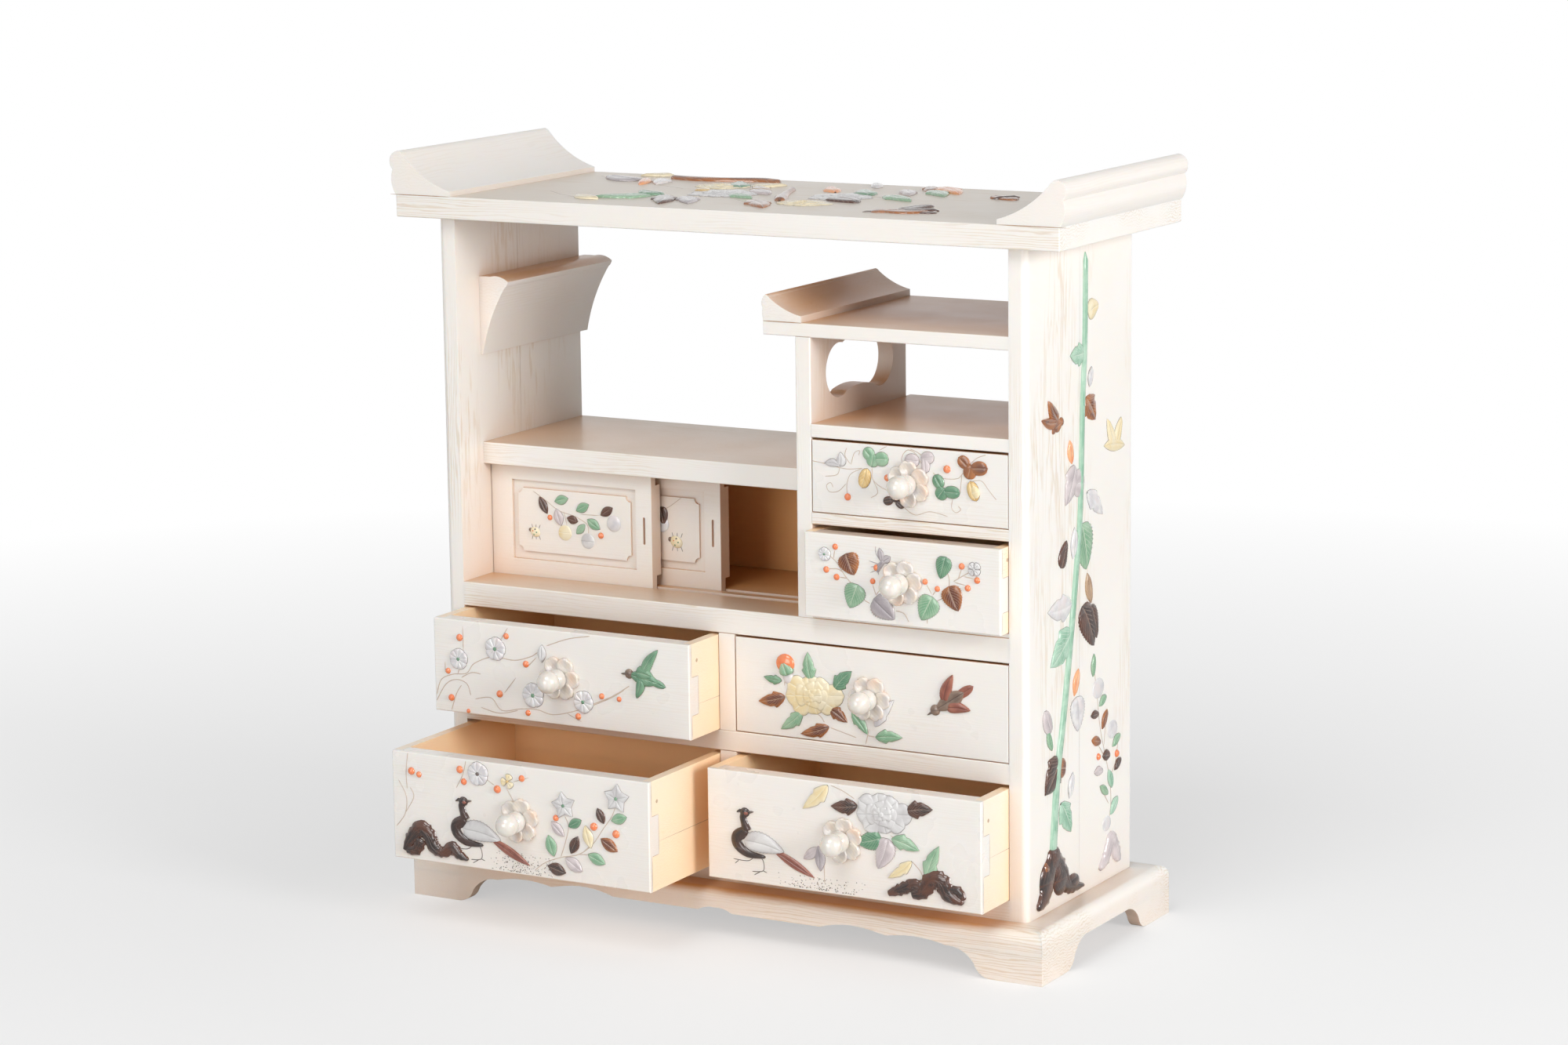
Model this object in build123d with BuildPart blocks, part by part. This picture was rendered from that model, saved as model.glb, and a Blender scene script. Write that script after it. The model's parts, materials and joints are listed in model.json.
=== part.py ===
from build123d import *
import os
from typing import NamedTuple

os.makedirs("parts", exist_ok=True)

# A small table cabinet of thin boards: open shelves above, two sliding doors and a column of two
# drawers in the middle, four drawers below, on a base frame with bracket feet.
# Millimetres. X runs to the right as seen from the front, Y to the back, Z up. The origin is on
# the standing surface, under the middle of the whole cabinet with its drawers part open.

# ---- Heights, from the standing surface up ----
foot_height = 8.6
base_rail_height = 7.1
floor_thick = 6.3
lower_row_height = 35.4
dust_board_thick = 6.5
upper_row_height = 30.5
waist_thick = 7.7
door_height = 36.0
door_shelf_thick = 7.0
sill_thick = 1.5
column_lower_height = 27.4
column_rail_thick = 3.65
column_upper_height = 22.85
lower_shelf_thick = 4.1
niche_height = 26.1
upper_shelf_thick = 4.2
head_room = 26.1
top_thick = 7.0

# Small rounding of the edges that show
edge_ease = 0.4

# ---- Widths and depths of the carcass ----
inner_width = 193.2
side_thick = 6.0
side_depth = 72.0
side_seam_back = 35.5
side_round = 2.0
centre_divider_thick = 5.6
tall_divider_thick = 5.2
column_width = 66.2
column_depth = 61.0
upper_shelf_overhang = 10.9
upper_shelf_depth = 70.0
door_shelf_setback = 13.2
lower_back_thick = 2.0
middle_back_thick = 3.0

# Stopped housings that hold the shelves in the side panels
housing_depth = 1.5
housing_stop = 3.0

# ---- Base, feet and top ----
base_side_proud = 9.5
base_front_proud = 9.7
base_back_proud = 8.8
base_rail_width = 18.1
base_round = 3.3
apron_rise = 1.3
apron_cusp_half = 6.0
apron_outer_cusp = 54.4
apron_outer_start = 37.0
apron_lobe = 59.9
apron_outer_peak = 69.0
foot_thick = 4.0
foot_wing = 32.0
foot_flat = 17.0
foot_step_reach = 22.6
foot_step_height = 4.1
top_side_proud = 12.7
top_front_proud = 4.5
top_back_proud = 8.5

# ---- Scroll mouldings: width, height, tip, overhang of the bead, height of the notch ----
top_scroll_width = 20.2
top_scroll_height = 13.7
top_scroll_tip = 1.6
top_scroll_overhang = 2.0
top_scroll_notch = 7.8
shelf_scroll_width = 13.0
shelf_scroll_height = 8.0
shelf_scroll_tip = 2.0
shelf_scroll_overhang = 0.4
shelf_scroll_notch = 3.9
wall_scroll_width = 24.8
wall_scroll_height = 10.9
wall_scroll_tip = 0.9
wall_scroll_overhang = 0.1
wall_scroll_notch = 4.3
wall_scroll_drop = 19.9
wall_scroll_front = 13.0
wall_scroll_back = 75.0

# ---- Cloud-shaped opening in the tall divider ----
cloud_lobe_radius = 8.4
cloud_lobe_spread = 13.1
cloud_centre_back = 31.1
cloud_centre_rise = 14.0
cloud_hump = 2.4
cloud_cusp_spread = 12.1
cloud_cusp_rise = 7.6
cloud_arch = 2.6

# ---- Sliding doors and their tracks ----
track_setback = 16.9
track_width = 3.2
track_pitch = 6.3
track_low_depth = 1.6
track_high_depth = 2.2
track_play = 0.3
door_lift = 0.15
door_entry = 1.3
door_thick = 5.2
door_step = 3.6
front_door_width = 59.6
door_overlap = 0.8
door_end_gap = 0.2
rear_door_open = 40.5
door_left_stile = 7.7
door_right_stile = 5.8
door_bottom_rail = 5.4
door_top_rail = 5.0
door_recess = 1.0
door_panel_drop = 0.3
door_panel_side_margin = 2.1
door_panel_high_margin = 2.6
door_panel_notch = 1.7
slot_width = 0.8
slot_height = 8.7
slot_depth = 1.2
slot_inset = 2.8

# ---- Drawers ----
drawer_side_gap = 0.2
drawer_under_gap = 0.15
drawer_front_thick = 5.4
drawer_lap = 1.4
drawer_wall = 3.0
drawer_bottom_thick = 2.0
drawer_bottom_lift = 0.8
row_drawer_end_gap = 2.0
column_drawer_end_gap = 3.0
lower_row_top_gap = 1.0
upper_row_top_gap = 0.6
column_upper_top_gap = 0.7
column_lower_top_gap = 1.35

# Corner joints: the tab that shows in the side starts and ends this high above the drawer's foot
lower_row_tab_low = 11.0
lower_row_tab_high = 23.4
upper_row_tab_low = 7.4
upper_row_tab_high = 19.4
column_upper_tab_low = 5.5
column_upper_tab_high = 14.5
column_lower_tab_low = 6.5
column_lower_tab_high = 17.0

# How far each drawer stands out in front of the carcass
lower_left_out = 42.4
lower_right_out = 18.0
upper_left_out = 17.7
upper_right_out = 0.0
column_lower_out = 5.2
column_upper_out = 0.0

# ---- Pulls: a ball and a bead on a stem, over a rosette of six petals ----
knob_radius = 3.55
knob_reach = 10.3
bead_radius = 3.35
bead_centre = 2.6
stem_radius = 1.2
stem_length = 4.0
stem_play = 0.1
rosette_thick = 1.4
petal_count = 6
petal_radius = 2.75
petal_ring = 4.5
petal_notch = 0.75

# ---- Levels and faces worked out from the sizes above ----
base_top = foot_height + base_rail_height
floor_top = base_top + floor_thick
dust_bottom = floor_top + lower_row_height
dust_top = dust_bottom + dust_board_thick
waist_bottom = dust_top + upper_row_height
waist_top = waist_bottom + waist_thick
door_shelf_bottom = waist_top + door_height
door_shelf_top = door_shelf_bottom + door_shelf_thick
sill_top = waist_top + sill_thick
column_rail_bottom = sill_top + column_lower_height
column_rail_top = column_rail_bottom + column_rail_thick
lower_shelf_bottom = column_rail_top + column_upper_height
lower_shelf_top = lower_shelf_bottom + lower_shelf_thick
upper_shelf_bottom = lower_shelf_top + niche_height
upper_shelf_top = upper_shelf_bottom + upper_shelf_thick
top_bottom = upper_shelf_top + head_room
top_top = top_bottom + top_thick

row_drawer_length = side_depth - lower_back_thick - row_drawer_end_gap
column_drawer_length = column_depth - column_drawer_end_gap

furthest_out = max(lower_left_out, lower_right_out, upper_left_out, upper_right_out)
front_y = (furthest_out + knob_reach - side_depth - base_back_proud) / 2
back_y = front_y + side_depth
seam_y = front_y + side_seam_back
column_back_y = front_y + column_depth
housing_y = front_y + housing_stop

inner_x = inner_width / 2
outer_x = inner_x + side_thick
divider_right_x = inner_x - column_width
divider_left_x = divider_right_x - tall_divider_thick
centre_x = centre_divider_thick / 2
shelf_end_x = divider_left_x - upper_shelf_overhang
base_x = outer_x + base_side_proud
base_front_y = front_y - base_front_proud
base_back_y = back_y + base_back_proud
top_x = outer_x + top_side_proud
top_front_y = front_y - top_front_proud
top_back_y = back_y + top_back_proud


def block(x0, x1, y0, y1, z0, z1, mode=Mode.ADD):
    """A rectangular block between six faces, added to or cut from the part being built."""
    with Locations(((x0 + x1) / 2, (y0 + y1) / 2, (z0 + z1) / 2)):
        Box(x1 - x0, y1 - y0, z1 - z0, mode=mode)


def save(name, *pieces):
    """Label the pieces and write them as one node; pieces that touch stay separate solids."""
    if len(pieces) == 1:
        shape = pieces[0]
    else:
        for number, piece in enumerate(pieces, start=1):
            piece.label = f"{name}_{number}"
        shape = Compound(children=list(pieces))
    shape.label = name
    export_step(shape, f"parts/{name}.step")


# ---- Base frame ----
def base_rail(outer_start, outer_end, inner_end, inner_start, cut_apron=False):
    """One mitred rail of the base, its upper outer edge rounded, its apron cut if asked."""
    middle = ((outer_start[0] + outer_end[0]) / 2, (outer_start[1] + outer_end[1]) / 2, base_top)
    with BuildPart() as rail:
        with BuildSketch(Plane.XY.offset(foot_height)):
            with BuildLine():
                Polyline(outer_start, outer_end, inner_end, inner_start, close=True)
            make_face()
        extrude(amount=base_rail_height)
        fillet(rail.edges().sort_by_distance(middle)[0], radius=min(base_round, base_rail_height / 2))
        if cut_apron:
            with BuildSketch(Plane((0, base_front_y, foot_height), (1, 0, 0), (0, -1, 0))):
                with BuildLine():
                    Line((-apron_cusp_half, 0), (apron_cusp_half, 0))
                    RadiusArc((apron_cusp_half, 0), (0, apron_rise), -apron_cusp_half * 1.6)
                    RadiusArc((0, apron_rise), (-apron_cusp_half, 0), -apron_cusp_half * 1.6)
                make_face()
                with BuildLine() as outer_cut:
                    Polyline((apron_outer_start, 0), (base_x - foot_wing, 0))
                    ThreePointArc(
                        (base_x - foot_wing, 0),
                        (apron_outer_peak, apron_rise),
                        (apron_lobe, apron_rise * 0.2),
                    )
                    Line((apron_lobe, apron_rise * 0.2), (apron_outer_cusp, apron_rise))
                    RadiusArc(
                        (apron_outer_cusp, apron_rise),
                        (apron_outer_start, 0),
                        -(apron_outer_cusp - apron_outer_start) * 2,
                    )
                make_face()
                mirror(about=Plane.YZ)
            extrude(amount=-base_rail_width, mode=Mode.SUBTRACT)
    return rail.part


left, right = -base_x, base_x
inner_left, inner_right = left + base_rail_width, right - base_rail_width
inner_front, inner_back = base_front_y + base_rail_width, base_back_y - base_rail_width
front_rail = base_rail(
    (left, base_front_y),
    (right, base_front_y),
    (inner_right, inner_front),
    (inner_left, inner_front),
    cut_apron=True,
)
right_rail = base_rail(
    (right, base_front_y), (right, base_back_y), (inner_right, inner_back), (inner_right, inner_front)
)
back_rail = base_rail(
    (right, base_back_y), (left, base_back_y), (inner_left, inner_back), (inner_right, inner_back)
)
left_rail = base_rail(
    (left, base_back_y), (left, base_front_y), (inner_left, inner_front), (inner_left, inner_back)
)
save("base_rails", front_rail, right_rail, back_rail, left_rail)

# Bracket foot at the left front corner: two wings with the same stepped outline
foot_front_plane = Plane((-base_x, base_front_y, 0), (1, 0, 0), (0, -1, 0))
foot_side_plane = Plane((-base_x, base_front_y, 0), (0, 1, 0), (1, 0, 0))
with BuildPart() as foot:
    for wing_plane, wing_thick in ((foot_front_plane, -foot_thick), (foot_side_plane, foot_thick)):
        with BuildSketch(wing_plane):
            with BuildLine():
                Polyline((foot_flat, 0), (0, 0), (0, foot_height), (foot_wing, foot_height))
                RadiusArc(
                    (foot_wing, foot_height),
                    (foot_step_reach, foot_step_height),
                    -(foot_wing - foot_step_reach) * 1.1,
                )
                RadiusArc(
                    (foot_step_reach, foot_step_height),
                    (foot_flat, 0),
                    (foot_step_reach - foot_flat) * 1.05,
                )
            make_face()
        extrude(amount=wing_thick)
foot_middle = Plane.XZ.offset(-(base_front_y + base_back_y) / 2)
foot_right = foot.part.mirror(Plane.YZ)
save(
    "bracket_feet",
    foot.part,
    foot_right,
    foot.part.mirror(foot_middle),
    foot_right.mirror(foot_middle),
)

# ---- Carcass boards ----
with BuildPart() as base_floor:
    block(-inner_x, inner_x, front_y, back_y - lower_back_thick, base_top, floor_top)
save("base_floor", base_floor.part)


def housed_board(left_x, right_x, end_y, bottom, top, house_left, house_right):
    """A board between uprights, with tongues where it is housed in a side panel."""
    with BuildPart() as board:
        block(left_x, right_x, front_y, end_y, bottom, top)
        fillet(board.edges().filter_by(Axis.X).group_by(Axis.Y)[0], radius=edge_ease)
        if house_left:
            block(left_x - housing_depth, left_x, housing_y, end_y, bottom, top)
        if house_right:
            block(right_x, right_x + housing_depth, housing_y, end_y, bottom, top)
    return board


dust_board = housed_board(
    -inner_x, inner_x, back_y - lower_back_thick, dust_bottom, dust_top, True, True
)
save("dust_board", dust_board.part)

waist_board = housed_board(-inner_x, inner_x, back_y, waist_bottom, waist_top, True, True)
with waist_board:
    for track in range(2):
        groove_y = front_y + track_setback + track * track_pitch
        block(
            -inner_x,
            divider_left_x,
            groove_y,
            groove_y + track_width,
            waist_top - track_low_depth,
            waist_top,
            Mode.SUBTRACT,
        )
save("waist_board", waist_board.part)

with BuildPart() as door_shelf:
    shelf_front_y = front_y + door_shelf_setback
    block(-inner_x, divider_left_x, shelf_front_y, back_y, door_shelf_bottom, door_shelf_top)
    fillet(door_shelf.edges().filter_by(Axis.X).group_by(Axis.Y)[0], radius=edge_ease)
    block(
        -inner_x - housing_depth,
        -inner_x,
        shelf_front_y + housing_stop,
        back_y,
        door_shelf_bottom,
        door_shelf_top,
    )
    for track in range(2):
        groove_y = front_y + track_setback + track * track_pitch
        block(
            -inner_x,
            divider_left_x,
            groove_y,
            groove_y + track_width,
            door_shelf_bottom,
            door_shelf_bottom + track_high_depth,
            Mode.SUBTRACT,
        )
save("door_shelf", door_shelf.part)

column_sill = housed_board(
    divider_right_x, inner_x, column_back_y, waist_top, sill_top, False, False
)
save("column_sill", column_sill.part)

column_rail = housed_board(
    divider_right_x, inner_x, column_back_y, column_rail_bottom, column_rail_top, False, True
)
save("column_rail", column_rail.part)

lower_shelf = housed_board(
    divider_right_x,
    inner_x,
    column_back_y + middle_back_thick,
    lower_shelf_bottom,
    lower_shelf_top,
    False,
    True,
)
save("lower_shelf", lower_shelf.part)

upper_shelf = housed_board(
    shelf_end_x,
    inner_x,
    front_y + upper_shelf_depth,
    upper_shelf_bottom,
    upper_shelf_top,
    False,
    True,
)
save("upper_shelf", upper_shelf.part)


class Housing(NamedTuple):
    """A stopped groove across a side panel."""

    bottom: float
    top: float
    start: float
    end: float


row_housings = [
    Housing(dust_bottom, dust_top, housing_y, back_y - lower_back_thick),
    Housing(waist_bottom, waist_top, housing_y, back_y),
]
left_housings = row_housings + [
    Housing(door_shelf_bottom, door_shelf_top, shelf_front_y + housing_stop, back_y)
]
right_housings = row_housings + [
    Housing(column_rail_bottom, column_rail_top, housing_y, column_back_y),
    Housing(lower_shelf_bottom, lower_shelf_top, housing_y, column_back_y + middle_back_thick),
    Housing(upper_shelf_bottom, upper_shelf_top, housing_y, front_y + upper_shelf_depth),
]


def side_panel(side, housings):
    """The front and rear boards of one side panel; side is -1 for the left, 1 for the right."""
    faces = sorted((side * inner_x, side * outer_x))
    groove = sorted((side * inner_x, side * (inner_x + housing_depth)))
    with BuildPart() as front_board:
        block(*faces, front_y, seam_y, base_top, top_bottom)
        outer_edges = front_board.edges().filter_by(Axis.Z).group_by(Axis.Y)[0].sort_by(Axis.X)
        fillet(outer_edges[-1 if side > 0 else 0], radius=min(side_round, side_thick / 2))
        for housing in housings:
            block(*groove, housing.start, seam_y, housing.bottom, housing.top, Mode.SUBTRACT)
    with BuildPart() as rear_board:
        block(*faces, seam_y, back_y, base_top, top_bottom)
        for housing in housings:
            block(*groove, seam_y, housing.end, housing.bottom, housing.top, Mode.SUBTRACT)
    return front_board.part, rear_board.part


save("side_panel_left", *side_panel(-1, left_housings))
save("side_panel_right", *side_panel(1, right_housings))

with BuildPart() as lower_centre_divider:
    block(-centre_x, centre_x, front_y, back_y - lower_back_thick, floor_top, dust_bottom)
with BuildPart() as upper_centre_divider:
    block(-centre_x, centre_x, front_y, back_y - lower_back_thick, dust_top, waist_bottom)
save("centre_dividers", lower_centre_divider.part, upper_centre_divider.part)

# Tall divider, with a cloud outline: two round lobes, a low hump between them, an arch above
cloud_plane = Plane(
    (divider_left_x, front_y + cloud_centre_back, lower_shelf_top + cloud_centre_rise),
    (0, 1, 0),
    (1, 0, 0),
)
with BuildPart() as tall_divider:
    block(divider_left_x, divider_right_x, front_y, column_back_y, waist_top, upper_shelf_bottom)
    fillet(tall_divider.edges().filter_by(Axis.Z).group_by(Axis.Y)[0], radius=edge_ease)
    with BuildSketch(cloud_plane):
        with BuildLine():
            ThreePointArc(
                (-cloud_lobe_spread, -cloud_lobe_radius),
                (0, -cloud_lobe_radius + cloud_hump),
                (cloud_lobe_spread, -cloud_lobe_radius),
            )
            Line((cloud_lobe_spread, -cloud_lobe_radius), (cloud_cusp_spread, cloud_cusp_rise))
            ThreePointArc(
                (cloud_cusp_spread, cloud_cusp_rise),
                (0, cloud_cusp_rise + cloud_arch),
                (-cloud_cusp_spread, cloud_cusp_rise),
            )
            Line((-cloud_cusp_spread, cloud_cusp_rise), (-cloud_lobe_spread, -cloud_lobe_radius))
        make_face()
        with Locations((-cloud_lobe_spread, 0), (cloud_lobe_spread, 0)):
            Circle(cloud_lobe_radius)
    extrude(amount=tall_divider_thick, mode=Mode.SUBTRACT)
save("tall_divider", tall_divider.part)

# Back panels
with BuildPart() as back_panel_lower:
    block(-inner_x, inner_x, back_y - lower_back_thick, back_y, base_top, waist_bottom)
save("back_panel_lower", back_panel_lower.part)

middle_back_y = column_back_y + middle_back_thick
with BuildPart() as back_panel_doors:
    block(-inner_x, divider_left_x, column_back_y, middle_back_y, waist_top, door_shelf_bottom)
save("back_panel_doors", back_panel_doors.part)

with BuildPart() as back_panel_column:
    block(divider_left_x, inner_x, column_back_y, middle_back_y, waist_top, lower_shelf_bottom)
save("back_panel_column", back_panel_column.part)

with BuildPart() as top_board:
    block(-top_x, top_x, top_front_y, top_back_y, top_bottom, top_top)
    fillet(top_board.edges().filter_by(Axis.Z), radius=edge_ease)
    fillet(top_board.edges().group_by(Axis.Z)[0], radius=edge_ease)
save("top_board", top_board.part)


# ---- Scroll mouldings ----
def scroll(plane, depth, width, height, tip, overhang, notch):
    """A wave moulding: a thin tip that rises in a hollow to a bead over a notched outer edge."""
    bead = height - notch
    with BuildPart() as moulding:
        with BuildSketch(plane):
            with BuildLine():
                Polyline((0, tip), (0, 0), (width, 0))
                ThreePointArc(
                    (width, 0), (width + overhang * 0.8, notch * 0.6), (width + overhang * 0.5, notch)
                )
                ThreePointArc(
                    (width + overhang * 0.5, notch),
                    (width + overhang, height - bead * 0.45),
                    (width - bead * 0.2, height),
                )
                ThreePointArc(
                    (width - bead * 0.2, height),
                    (width - bead * 0.35, height - bead * 0.06),
                    (width - bead * 0.5, height - bead * 0.2),
                )
                ThreePointArc(
                    (width - bead * 0.5, height - bead * 0.2),
                    (width * 0.52, tip + (height - tip) * 0.4),
                    (0, tip),
                )
            make_face()
        extrude(amount=depth)
    return moulding.part


top_scroll_left = scroll(
    Plane((-top_x + top_scroll_width, top_front_y, top_top), (-1, 0, 0), (0, 1, 0)),
    top_back_y - top_front_y,
    top_scroll_width,
    top_scroll_height,
    top_scroll_tip,
    top_scroll_overhang,
    top_scroll_notch,
)
save("top_scroll_left", top_scroll_left)
save("top_scroll_right", top_scroll_left.mirror(Plane.YZ))

upper_shelf_scroll = scroll(
    Plane((shelf_end_x + shelf_scroll_width, front_y, upper_shelf_top), (-1, 0, 0), (0, 1, 0)),
    upper_shelf_depth,
    shelf_scroll_width,
    shelf_scroll_height,
    shelf_scroll_tip,
    shelf_scroll_overhang,
    shelf_scroll_notch,
)
save("upper_shelf_scroll", upper_shelf_scroll)

wall_scroll_bottom = top_bottom - wall_scroll_drop - wall_scroll_width
wall_scroll = scroll(
    Plane((-inner_x, front_y + wall_scroll_front, wall_scroll_bottom), (0, 0, 1), (0, 1, 0)),
    wall_scroll_back - wall_scroll_front,
    wall_scroll_width,
    wall_scroll_height,
    wall_scroll_tip,
    wall_scroll_overhang,
    wall_scroll_notch,
)
save("wall_scroll_bracket", wall_scroll)


# ---- Sliding doors ----
def door(left_x, width, groove_y):
    """A sliding door: a stepped board with a recessed field and a raised panel with cut corners."""
    face_y = groove_y + track_play
    tongue_y = groove_y + track_width - track_play
    bottom = waist_top - track_low_depth + door_lift
    top = door_shelf_bottom + door_entry
    field_left, field_right = left_x + door_left_stile, left_x + width - door_right_stile
    field_bottom, field_top = waist_top + door_bottom_rail, door_shelf_bottom - door_top_rail
    field_size = (field_right - field_left, field_top - field_bottom)
    field_centre = ((field_left + field_right) / 2, (field_bottom + field_top) / 2)
    slot_centre = (left_x + width - slot_inset, (waist_top + door_shelf_bottom) / 2)
    face_plane = Plane((0, face_y, 0), (1, 0, 0), (0, -1, 0))
    with BuildPart() as leaf:
        block(left_x, left_x + width, face_y, tongue_y, bottom, top)
        block(
            left_x,
            left_x + width,
            tongue_y,
            face_y + door_thick,
            waist_top + door_step,
            door_shelf_bottom - door_step,
        )
        with BuildSketch(face_plane):
            with Locations(field_centre):
                Rectangle(*field_size)
        extrude(amount=-door_panel_drop, mode=Mode.SUBTRACT)
        with BuildSketch(face_plane):
            with Locations(field_centre):
                Rectangle(*field_size)
                panel_width = field_size[0] - 2 * door_panel_side_margin
                panel_height = field_size[1] - 2 * door_panel_high_margin
                Rectangle(panel_width, panel_height, mode=Mode.SUBTRACT)
                with GridLocations(panel_width, panel_height, 2, 2):
                    Circle(door_panel_notch)
        extrude(amount=-door_recess, mode=Mode.SUBTRACT)
        with BuildSketch(face_plane):
            with Locations(slot_centre):
                SlotOverall(slot_height, slot_width, rotation=90)
        extrude(amount=-slot_depth, mode=Mode.SUBTRACT)
    return leaf.part


door_bay_width = divider_left_x + inner_x
rear_door_width = door_bay_width - front_door_width + door_overlap
front_door = door(-inner_x + door_end_gap, front_door_width, front_y + track_setback)
save("door_front", front_door)
rear_door_right_x = divider_left_x - door_end_gap - rear_door_open
rear_door = door(
    rear_door_right_x - rear_door_width, rear_door_width, front_y + track_setback + track_pitch
)
save("door_rear", rear_door)


# ---- Drawers ----
class Drawer(NamedTuple):
    """One drawer: the opening it runs in, its own size and the lines of its joints."""

    name: str
    left: float
    right: float
    floor: float
    ceiling: float
    top_gap: float
    length: float
    out: float
    tab_low: float
    tab_high: float
    side_seam: float
    back_seam: float
    rosette_turn: float


drawers = [
    Drawer(
        "column_upper_drawer",
        divider_right_x,
        inner_x,
        column_rail_top,
        lower_shelf_bottom,
        column_upper_top_gap,
        column_drawer_length,
        column_upper_out,
        tab_low=column_upper_tab_low,
        tab_high=column_upper_tab_high,
        side_seam=9.0,
        back_seam=12.0,
        rosette_turn=30,
    ),
    Drawer(
        "column_lower_drawer",
        divider_right_x,
        inner_x,
        sill_top,
        column_rail_bottom,
        column_lower_top_gap,
        column_drawer_length,
        column_lower_out,
        tab_low=column_lower_tab_low,
        tab_high=column_lower_tab_high,
        side_seam=10.0,
        back_seam=14.0,
        rosette_turn=10,
    ),
    Drawer(
        "upper_left_drawer",
        -inner_x,
        -centre_x,
        dust_top,
        waist_bottom,
        upper_row_top_gap,
        row_drawer_length,
        upper_left_out,
        tab_low=upper_row_tab_low,
        tab_high=upper_row_tab_high,
        side_seam=10.5,
        back_seam=18.0,
        rosette_turn=0,
    ),
    Drawer(
        "upper_right_drawer",
        centre_x,
        inner_x,
        dust_top,
        waist_bottom,
        upper_row_top_gap,
        row_drawer_length,
        upper_right_out,
        tab_low=upper_row_tab_low,
        tab_high=upper_row_tab_high,
        side_seam=12.0,
        back_seam=17.0,
        rosette_turn=0,
    ),
    Drawer(
        "lower_left_drawer",
        -inner_x,
        -centre_x,
        floor_top,
        dust_bottom,
        lower_row_top_gap,
        row_drawer_length,
        lower_left_out,
        tab_low=lower_row_tab_low,
        tab_high=lower_row_tab_high,
        side_seam=15.0,
        back_seam=21.0,
        rosette_turn=15,
    ),
    Drawer(
        "lower_right_drawer",
        centre_x,
        inner_x,
        floor_top,
        dust_bottom,
        lower_row_top_gap,
        row_drawer_length,
        lower_right_out,
        tab_low=lower_row_tab_low,
        tab_high=lower_row_tab_high,
        side_seam=16.0,
        back_seam=19.0,
        rosette_turn=20,
    ),
]


def drawer_front(plane, width, height, drawer):
    """The front board: tabs at mid height reach through the sides, laps cover them elsewhere."""
    with BuildPart() as front:
        with BuildSketch(plane):
            Rectangle(width, height, align=(Align.MIN, Align.MIN))
        extrude(amount=-drawer_front_thick)
        fillet(front.faces().sort_by(Axis.Y)[0].edges(), radius=edge_ease)
        with BuildSketch(plane.offset(-drawer_lap)):
            for corner in (0, width - drawer_wall):
                with Locations((corner, 0)):
                    Rectangle(drawer_wall, drawer.tab_low, align=(Align.MIN, Align.MIN))
                with Locations((corner, drawer.tab_high)):
                    Rectangle(drawer_wall, height - drawer.tab_high, align=(Align.MIN, Align.MIN))
        extrude(amount=drawer_lap - drawer_front_thick, mode=Mode.SUBTRACT)
        with BuildSketch(plane):
            with Locations((width / 2, height / 2)):
                Circle(stem_radius + stem_play)
        extrude(amount=-stem_length - stem_play, mode=Mode.SUBTRACT)
    return front.part


def drawer_side_board(plane, outline):
    """Half of a drawer side, above or below its seam."""
    with BuildPart() as board:
        with BuildSketch(plane):
            with BuildLine():
                Polyline(*outline, close=True)
            make_face()
        extrude(amount=drawer_wall)
    return board.part


def rosette(plane, turn):
    """Six flat petals with notched tips round a hub, bored for the stem."""
    with BuildPart() as flower:
        with BuildSketch(plane):
            Circle(petal_ring)
            with PolarLocations(petal_ring, petal_count, start_angle=turn):
                Circle(petal_radius)
            with PolarLocations(petal_ring + petal_radius, petal_count, start_angle=turn):
                RegularPolygon(petal_notch, 4, mode=Mode.SUBTRACT)
            Circle(stem_radius + stem_play, mode=Mode.SUBTRACT)
        extrude(amount=rosette_thick)
    return flower.part


def knob(plane):
    """A ball and a smaller bead in one turning, with the stem that goes into the front board."""
    ball_centre = knob_reach - knob_radius
    with BuildPart() as turning:
        # half of the outline, in the level plane through the knob's axis
        with BuildSketch(Plane(plane.origin, plane.x_dir, (0, 0, 1))):
            with Locations((0, -ball_centre)):
                Circle(knob_radius)
            with Locations((0, -bead_centre)):
                Circle(bead_radius)
            with Locations((0, -rosette_thick)):
                Rectangle(
                    2 * bead_radius,
                    bead_radius,
                    align=(Align.CENTER, Align.MIN),
                    mode=Mode.SUBTRACT,
                )
            with Locations((0, stem_length)):
                Rectangle(
                    2 * stem_radius,
                    stem_length + rosette_thick,
                    align=(Align.CENTER, Align.MAX),
                )
            with Locations((0, stem_length)):
                Rectangle(
                    knob_radius,
                    knob_reach + stem_length,
                    align=(Align.MAX, Align.MAX),
                    mode=Mode.SUBTRACT,
                )
        revolve(axis=Axis(plane.origin, (0, 1, 0)), revolution_arc=360)
    return turning.part


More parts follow.
